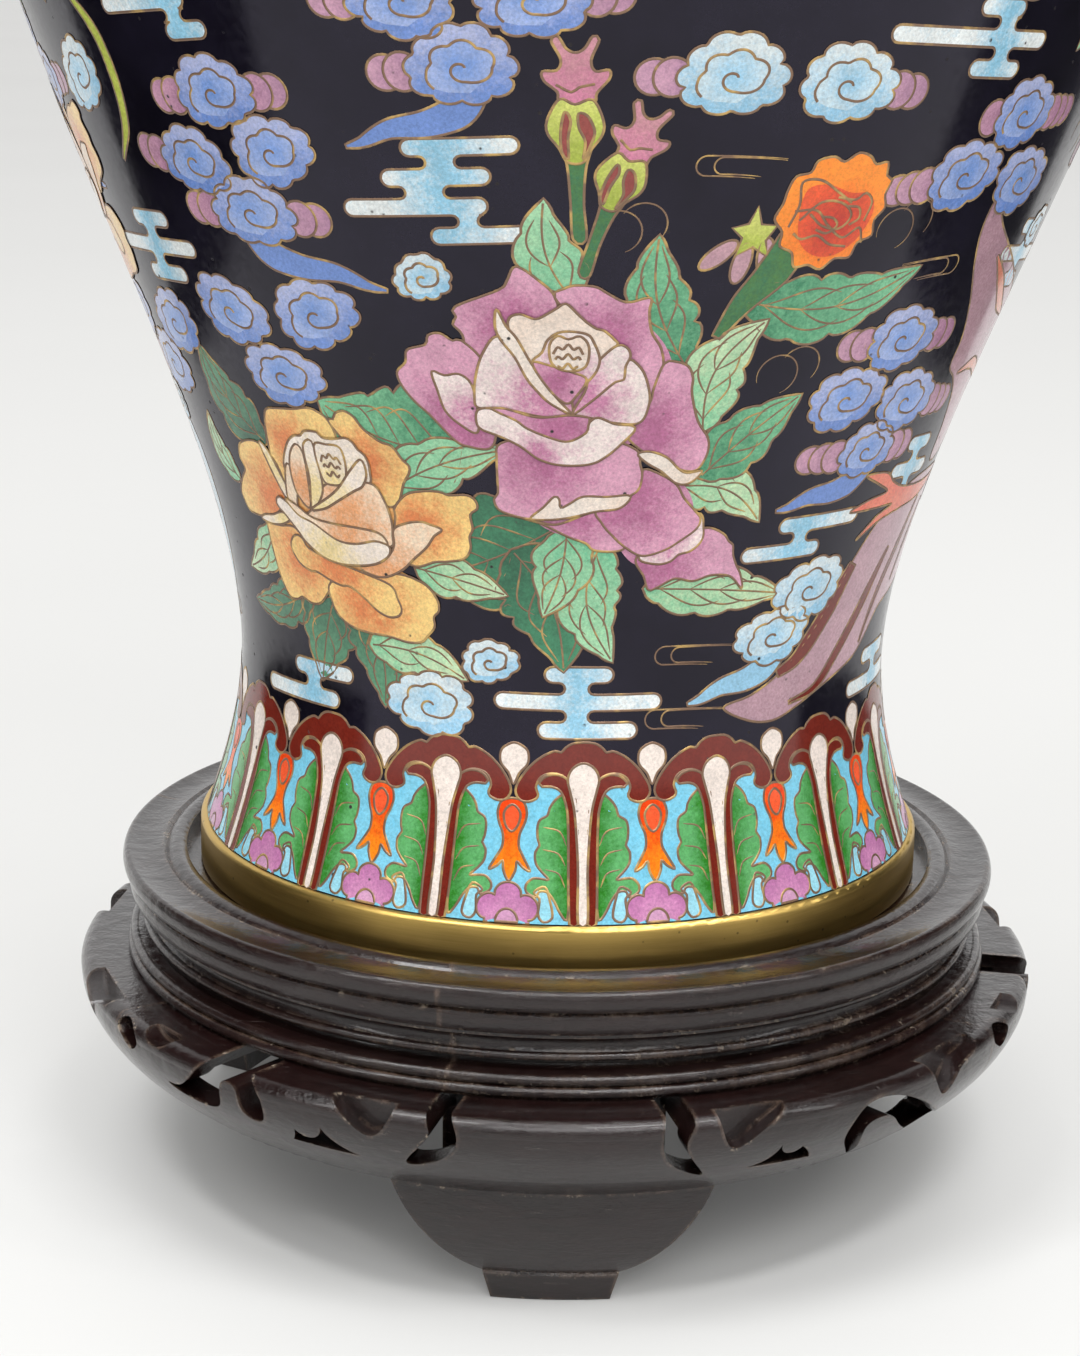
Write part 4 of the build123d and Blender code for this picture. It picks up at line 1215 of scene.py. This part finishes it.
def enamel_surface(m, colour):
    """What every enamel shares: cloudy tone, grains, pinholes, a polished wavy skin."""
    grain = m.noise(1300.0, 3.0, 0.75)
    tone = m.noise(110.0, 4.0, 0.65)
    shade = m.math("MULTIPLY", m.span(grain, 0.32, 0.68, 0.78, 1.14),
                   m.span(tone, 0.3, 0.7, 0.88, 1.08))
    gray = m.add("ShaderNodeCombineColor")
    for socket in ("Red", "Green", "Blue"):
        m.link(shade, gray.inputs[socket])
    colour = m.mix(1.0, colour, gray.outputs[0], "MULTIPLY")
    hole = m.spots(260.0)
    rare = m.noise(140.0, 1.0)
    pin = m.math("MULTIPLY", m.span(hole, 0.10, 0.16, 1.0, 0.0),
                 m.span(rare, 0.60, 0.66))
    colour = m.mix(pin, colour, (0.02, 0.017, 0.015))
    rough = m.span(m.noise(500.0, 2.0), 0.3, 0.7, 0.10, 0.19)
    m.set(base_color=colour, roughness=m.math("ADD", rough, m.math("MULTIPLY", pin, 0.5)))
    skin = m.math("ADD", m.noise(70.0, 2.0), m.math("MULTIPLY", m.noise(900.0, 2.0), 0.05))
    m.bump(m.math("SUBTRACT", skin, m.math("MULTIPLY", pin, 0.5)), 0.35, 0.00012)


def enamel_cells():
    m = Nodes("enamel_cells")
    a = m.add("ShaderNodeAttribute", attribute_name="tint_a").outputs["Color"]
    b = m.add("ShaderNodeAttribute", attribute_name="tint_b").outputs["Color"]
    t = m.add("ShaderNodeAttribute", attribute_name="tint_mix").outputs["Fac"]
    fine = m.noise(1100.0, 3.0, 0.7)
    loose = m.noise(260.0, 3.0, 0.6)
    t = m.math("ADD", t, m.math("MULTIPLY", m.math("SUBTRACT", fine, 0.5), 1.3))
    t = m.math("ADD", t, m.math("MULTIPLY", m.math("SUBTRACT", loose, 0.5), 1.2))
    node = m.add("ShaderNodeMath", operation="ADD", use_clamp=True)
    m.link(t, node.inputs[0])
    node.inputs[1].default_value = 0.0
    enamel_surface(m, m.mix(node.outputs[0], a, b))
    return m.material


def enamel_ground():
    m = Nodes("enamel_black")
    drift = m.noise(30.0, 4.0, 0.6)
    colour = m.mix(m.span(drift, 0.35, 0.7), (0.0040, 0.0032, 0.0065), (0.010, 0.0085, 0.017))
    enamel_surface(m, colour)
    m.set(specular_ior_level=0.36, specular_tint=(0.84, 0.80, 1.0))
    return m.material


def wire_metal():
    m = Nodes("gilt_wire")
    worn = m.noise(160.0, 3.0, 0.6)
    colour = m.mix(m.span(worn, 0.50, 0.66), (0.25, 0.155, 0.10), (0.58, 0.38, 0.14))
    m.set(base_color=colour, metallic=0.55, roughness=m.span(m.noise(700.0), 0.3, 0.7, 0.34, 0.5))
    m.bump(m.noise(1800.0), 0.3, 0.00004)
    return m.material


def brass_metal():
    m = Nodes("brass_satin")
    place = m.add("ShaderNodeMapping")
    place.inputs["Scale"].default_value = (1.0, 1.0, 40.0)
    m.link(m.place(), place.inputs["Vector"])
    lines = m.noise(60.0, 6.0, 0.7, place.outputs[0])
    stain = m.noise(26.0, 5.0, 0.65)
    colour = m.mix(m.span(lines, 0.3, 0.7), (0.60, 0.40, 0.11), (0.70, 0.48, 0.15))
    colour = m.mix(m.span(stain, 0.56, 0.76, 0.0, 0.35), colour, (0.30, 0.19, 0.06))
    spot = m.span(m.spots(190.0), 0.05, 0.09, 0.6, 0.0)
    colour = m.mix(spot, colour, (0.10, 0.065, 0.03))
    rough = m.span(lines, 0.3, 0.7, 0.30, 0.40)
    m.set(base_color=colour, metallic=1.0, roughness=rough)
    m.bump(lines, 0.12, 0.00003)
    return m.material


def lining_enamel():
    m = Nodes("lining_enamel")
    drift = m.noise(45.0, 5.0, 0.7)
    colour = m.mix(m.span(drift, 0.35, 0.65), (0.05, 0.22, 0.30), (0.09, 0.33, 0.40))
    enamel_surface(m, colour)
    return m.material


def copper_sheet():
    m = Nodes("copper_sheet")
    colour = m.mix(m.span(m.noise(50.0, 5.0, 0.7), 0.35, 0.65), (0.50, 0.22, 0.12), (0.28, 0.12, 0.07))
    m.set(base_color=colour, metallic=1.0, roughness=m.span(m.noise(400.0), 0.3, 0.7, 0.35, 0.55))
    m.bump(m.noise(600.0), 0.3, 0.0001)
    return m.material


def dark_wood(name, seed):
    """Lacquered hardwood: grain under the lacquer, rubbed edges, scuffs and dust."""
    m = Nodes(name)
    place = m.add("ShaderNodeMapping")
    place.inputs["Location"].default_value = (seed, seed * 0.7, seed * 0.3)
    place.inputs["Scale"].default_value = (1.0, 1.0, 6.0)
    m.link(m.place(), place.inputs["Vector"])
    grain = m.noise(120.0, 6.0, 0.72, place.outputs[0], 0.6)
    pores = m.noise(900.0, 3.0, 0.7, place.outputs[0])
    drift = m.noise(18.0, 4.0, 0.6)
    colour = m.mix(m.span(grain, 0.35, 0.7), (0.005, 0.0026, 0.0024), (0.017, 0.008, 0.007))
    colour = m.mix(m.span(drift, 0.4, 0.7, 0.0, 0.6), colour, (0.014, 0.0045, 0.0045))
    edge = m.edge(0.0018)
    rub = m.math("MULTIPLY", m.span(edge, 0.008, 0.09), m.span(m.noise(85.0, 6.0, 0.8), 0.44, 0.60))
    colour = m.mix(m.math("MULTIPLY", rub, 0.8), colour, (0.13, 0.085, 0.060))
    chip = m.math("MULTIPLY", m.span(edge, 0.02, 0.10), m.span(m.noise(230.0, 4.0, 0.7), 0.60, 0.64))
    colour = m.mix(chip, colour, (0.34, 0.27, 0.20))
    stretch = m.add("ShaderNodeMapping")
    stretch.inputs["Rotation"].default_value = (0.2, 0.1, 0.5)
    stretch.inputs["Scale"].default_value = (1.0, 9.0, 9.0)
    m.link(m.place(), stretch.inputs["Vector"])
    scuff = m.span(m.noise(70.0, 6.0, 0.85, stretch.outputs[0]), 0.60, 0.72, 0.0, 0.40)
    colour = m.mix(scuff, colour, (0.17, 0.145, 0.13))
    rough = m.math("ADD", m.span(drift, 0.3, 0.7, 0.07, 0.15), m.math("MULTIPLY", scuff, 0.6))
    rough = m.math("ADD", rough, m.math("MULTIPLY", rub, 0.2))
    m.set(base_color=colour, roughness=rough)
    ripple = m.noise(130.0, 4.0, 0.6)
    height = m.math("ADD", m.math("MULTIPLY", grain, 0.5), m.math("MULTIPLY", pores, 0.22))
    height = m.math("ADD", height, m.math("MULTIPLY", ripple, 1.3))
    m.bump(m.math("SUBTRACT", height, chip), 0.7, 0.0006)
    m.set(coat_weight=0.25, coat_roughness=0.06)
    return m.material


cells_look = enamel_cells()
ground_look = enamel_ground()
wire_look = wire_metal()
brass_look = brass_metal()
lining_look = lining_enamel()
copper_look = copper_sheet()

SKINS = (("enamel_border", RING_Z, BORDER_TOP_Z), ("enamel_lower_body", BORDER_TOP_Z, BODY_TOP_Z),
         ("enamel_belly", BODY_TOP_Z, CROWN_Z), ("enamel_shoulder", CROWN_Z, NECK_Z),
         ("enamel_neck", NECK_Z, MOUTH_Z))
for name, z_low, z_high in SKINS:
    ground = build_mesh(name + "_ground", ground_shell(z_low, z_high), ground_look)
    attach(ground, "vase")
    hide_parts(name)

for key in sorted(cell_sheets):
    piece = build_mesh("cells_" + key, cell_sheets[key], cells_look)
    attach(piece, "vase")
for key in sorted(wire_sheets):
    piece = build_mesh("wires_" + key, wire_sheets[key], wire_look)
    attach(piece, "vase")


def dress(node, look):
    """Gives a CAD node a material and smooth shading."""
    mesh = node.data
    mesh.materials.clear()
    mesh.materials.append(look)
    mesh.polygons.foreach_set("use_smooth", np.ones(len(mesh.polygons), bool))


for number, (name, node) in enumerate(sorted(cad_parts.items())):
    if name.startswith("stand_"):
        dress(node, dark_wood("lacquered_wood_" + str(number), 0.37 * number))
    elif name.startswith("brass_"):
        dress(node, brass_look)
    elif name.startswith("copper_"):
        dress(node, copper_look)
    elif name.startswith("lining_") or name == "base_counter_enamel":
        dress(node, lining_look)


# ---- floor, light, camera -------------------------------------------------
FLOOR_HALF = 12.0           # m
FLOOR_CELLS = 48
CARD_NEAR = 0.46            # m from the middle to the near side of a dark card
CARD_FAR = 1.5
CARD_HIGH = 3.0
EYE = (-0.0058, -0.8047, 0.3596)
TILT = math.radians(74.4)   # from straight down
ROLL = math.radians(1.171)
LENS = 100.0                # mm, on a sensor 36 mm wide


def floor_plane():
    """Pale floor: lit by the lamps near the object, and evenly bright of itself further out; its own glow
    fades towards the middle, which paints shade under and round the stand.
    """
    cells = FLOOR_CELLS
    sheet = Sheet()
    xs = np.linspace(-FLOOR_HALF, FLOOR_HALF, cells + 1)
    gx, gy = np.meshgrid(xs, xs)
    co = np.stack([gx.ravel(), gy.ravel(), np.full(gx.size, -0.0002)], -1)
    no = np.zeros_like(co)
    no[:, 2] = 1.0
    i, j = np.meshgrid(np.arange(cells), np.arange(cells))
    a = (j * (cells + 1) + i).ravel()
    faces = np.concatenate([np.stack([a, a + 1, a + cells + 2], -1),
                            np.stack([a, a + cells + 2, a + cells + 1], -1)])
    sheet.add(co, no, faces)
    m = Nodes("pale_floor")
    tone = m.noise(3.0, 3.0, 0.5)
    reach = m.add("ShaderNodeVectorMath", operation="LENGTH")
    m.link(m.place(), reach.inputs[0])
    # painted shade: the floor's own glow fades towards the middle, so it is darker under and inside the
    # stand; the paler colour there is lit by the lamps
    glow_outside_painted_shade = m.span(reach.outputs["Value"], 0.08, 0.26, 0.12, 1.0)
    colour = m.mix(glow_outside_painted_shade, (0.66, 0.66, 0.65), (0.28, 0.28, 0.275))
    m.set(base_color=colour, roughness=m.span(tone, 0.3, 0.7, 0.55, 0.60))
    m.set(specular_ior_level=0.2, emission_color=(1.0, 0.995, 0.975),
          emission_strength=m.math("MULTIPLY", glow_outside_painted_shade, 0.5))
    return build_mesh("floor", sheet, m.material)


floor_plane()

world = bpy.data.worlds.new("studio")
bpy.context.scene.world = world
world.use_nodes = True
tree = world.node_tree
backdrop = tree.nodes["Background"]
backdrop.inputs["Color"].default_value = (0.80, 0.80, 0.79, 1.0)
backdrop.inputs["Strength"].default_value = 1.0
room = tree.nodes.new("ShaderNodeBackground")
room.inputs["Strength"].default_value = 1.0
aim = tree.nodes.new("ShaderNodeTexCoord")
parts = tree.nodes.new("ShaderNodeSeparateXYZ")
tree.links.new(aim.outputs["Generated"], parts.inputs[0])
ramp = tree.nodes.new("ShaderNodeMapRange")
ramp.interpolation_type = "SMOOTHSTEP"
ramp.inputs["From Min"].default_value = -0.15
ramp.inputs["From Max"].default_value = 0.75
ramp.inputs["To Min"].default_value = 0.06
ramp.inputs["To Max"].default_value = 0.95
tree.links.new(parts.outputs["Y"], ramp.inputs["Value"])
tree.links.new(ramp.outputs[0], room.inputs["Color"])
seen = tree.nodes.new("ShaderNodeLightPath")
both = tree.nodes.new("ShaderNodeMixShader")
tree.links.new(seen.outputs["Is Camera Ray"], both.inputs[0])
tree.links.new(room.outputs[0], both.inputs[1])
tree.links.new(backdrop.outputs[0], both.inputs[2])
tree.links.new(both.outputs[0], tree.nodes["World Output"].inputs["Surface"])


def softbox(name, place, target, width, height, power):
    """White rectangular lamp that faces its target."""
    light = bpy.data.lights.new(name, "AREA")
    light.shape = "RECTANGLE"
    light.size, light.size_y = width, height
    light.energy = power
    obj = bpy.data.objects.new(name, light)
    bpy.context.scene.collection.objects.link(obj)
    obj.location = place
    aim_at = (Vector(target) - Vector(place)).to_track_quat("-Z", "Y")
    obj.rotation_euler = aim_at.to_euler()


softbox("window_front", (0.3, -2.4, 2.1), (0.0, 0.0, 0.2), 2.0, 1.2, 44.0)
softbox("ceiling", (0.0, -0.1, 2.8), (0.0, 0.0, 0.0), 2.4, 1.6, 40.0)
softbox("lamp_left", (-0.8, -0.8, 2.0), (0.0, 0.0, 0.1), 0.9, 0.2, 16.0)
softbox("lamp_right", (0.6, -0.95, 1.9), (0.0, 0.0, 0.1), 0.9, 0.2, 16.0)
softbox("strip_left", (-1.7, -1.3, 1.5), (0.0, 0.0, 0.1), 0.25, 1.6, 12.0)
softbox("strip_right", (1.8, -0.9, 1.3), (0.0, 0.0, 0.1), 0.25, 1.6, 9.0)


def dark_card(name, corners):
    """Painted dark reflection: a dark sheet that shows only in reflections, standing for the dark side of
    the room between the front and the back light; shadows and diffuse rays pass through it.
    """
    sheet = Sheet()
    co = np.array(corners, float)
    no = np.tile((0.0, 0.0, 1.0), (4, 1))
    sheet.add(co, no, np.array([(0, 1, 2), (0, 2, 3)]))
    # painted reflection: a near-black sheet that only glossy rays see
    m = Nodes(name + "_painted_dark_reflection")
    m.set(base_color=m.mix(m.noise(8.0), (0.004, 0.004, 0.005), (0.010, 0.010, 0.011)),
          roughness=0.9)
    card = build_mesh(name, sheet, m.material)
    card.visible_camera = False
    card.visible_diffuse = False
    card.visible_shadow = False


# painted reflections: a low and a high dark sheet on each side, seen only in the gloss of the vase and
# stand
for side, front, back in ((-1.0, -0.42, 0.62), (1.0, -0.08, 1.05)):
    label = "left" if side < 0 else "right"
    near, far = CARD_NEAR * side, CARD_FAR * side
    dark_card("card_low_" + label, [(near, front * 0.5, 0.001), (far, front * 1.4, 0.001),
                                    (far, back * 1.4, 0.001), (near, back * 0.5, 0.001)])
    dark_card("card_high_" + label, [(far, front * 1.4, 0.0), (far, back * 1.4, 0.0),
                                     (far, back * 1.4, CARD_HIGH), (far, front * 1.4, CARD_HIGH)])

camera = bpy.data.cameras.new("camera")
camera.sensor_fit = "HORIZONTAL"
camera.sensor_width = 36.0
camera.lens = LENS
camera.clip_start = 0.01
camera.clip_end = 30.0
eye = bpy.data.objects.new("camera", camera)
bpy.context.scene.collection.objects.link(eye)
turned = Matrix.Rotation(TILT, 4, "X") @ Matrix.Rotation(ROLL, 4, "Z")
eye.matrix_world = Matrix.Translation(EYE) @ turned
bpy.context.scene.camera = eye
bpy.context.scene.view_settings.view_transform = "Standard"
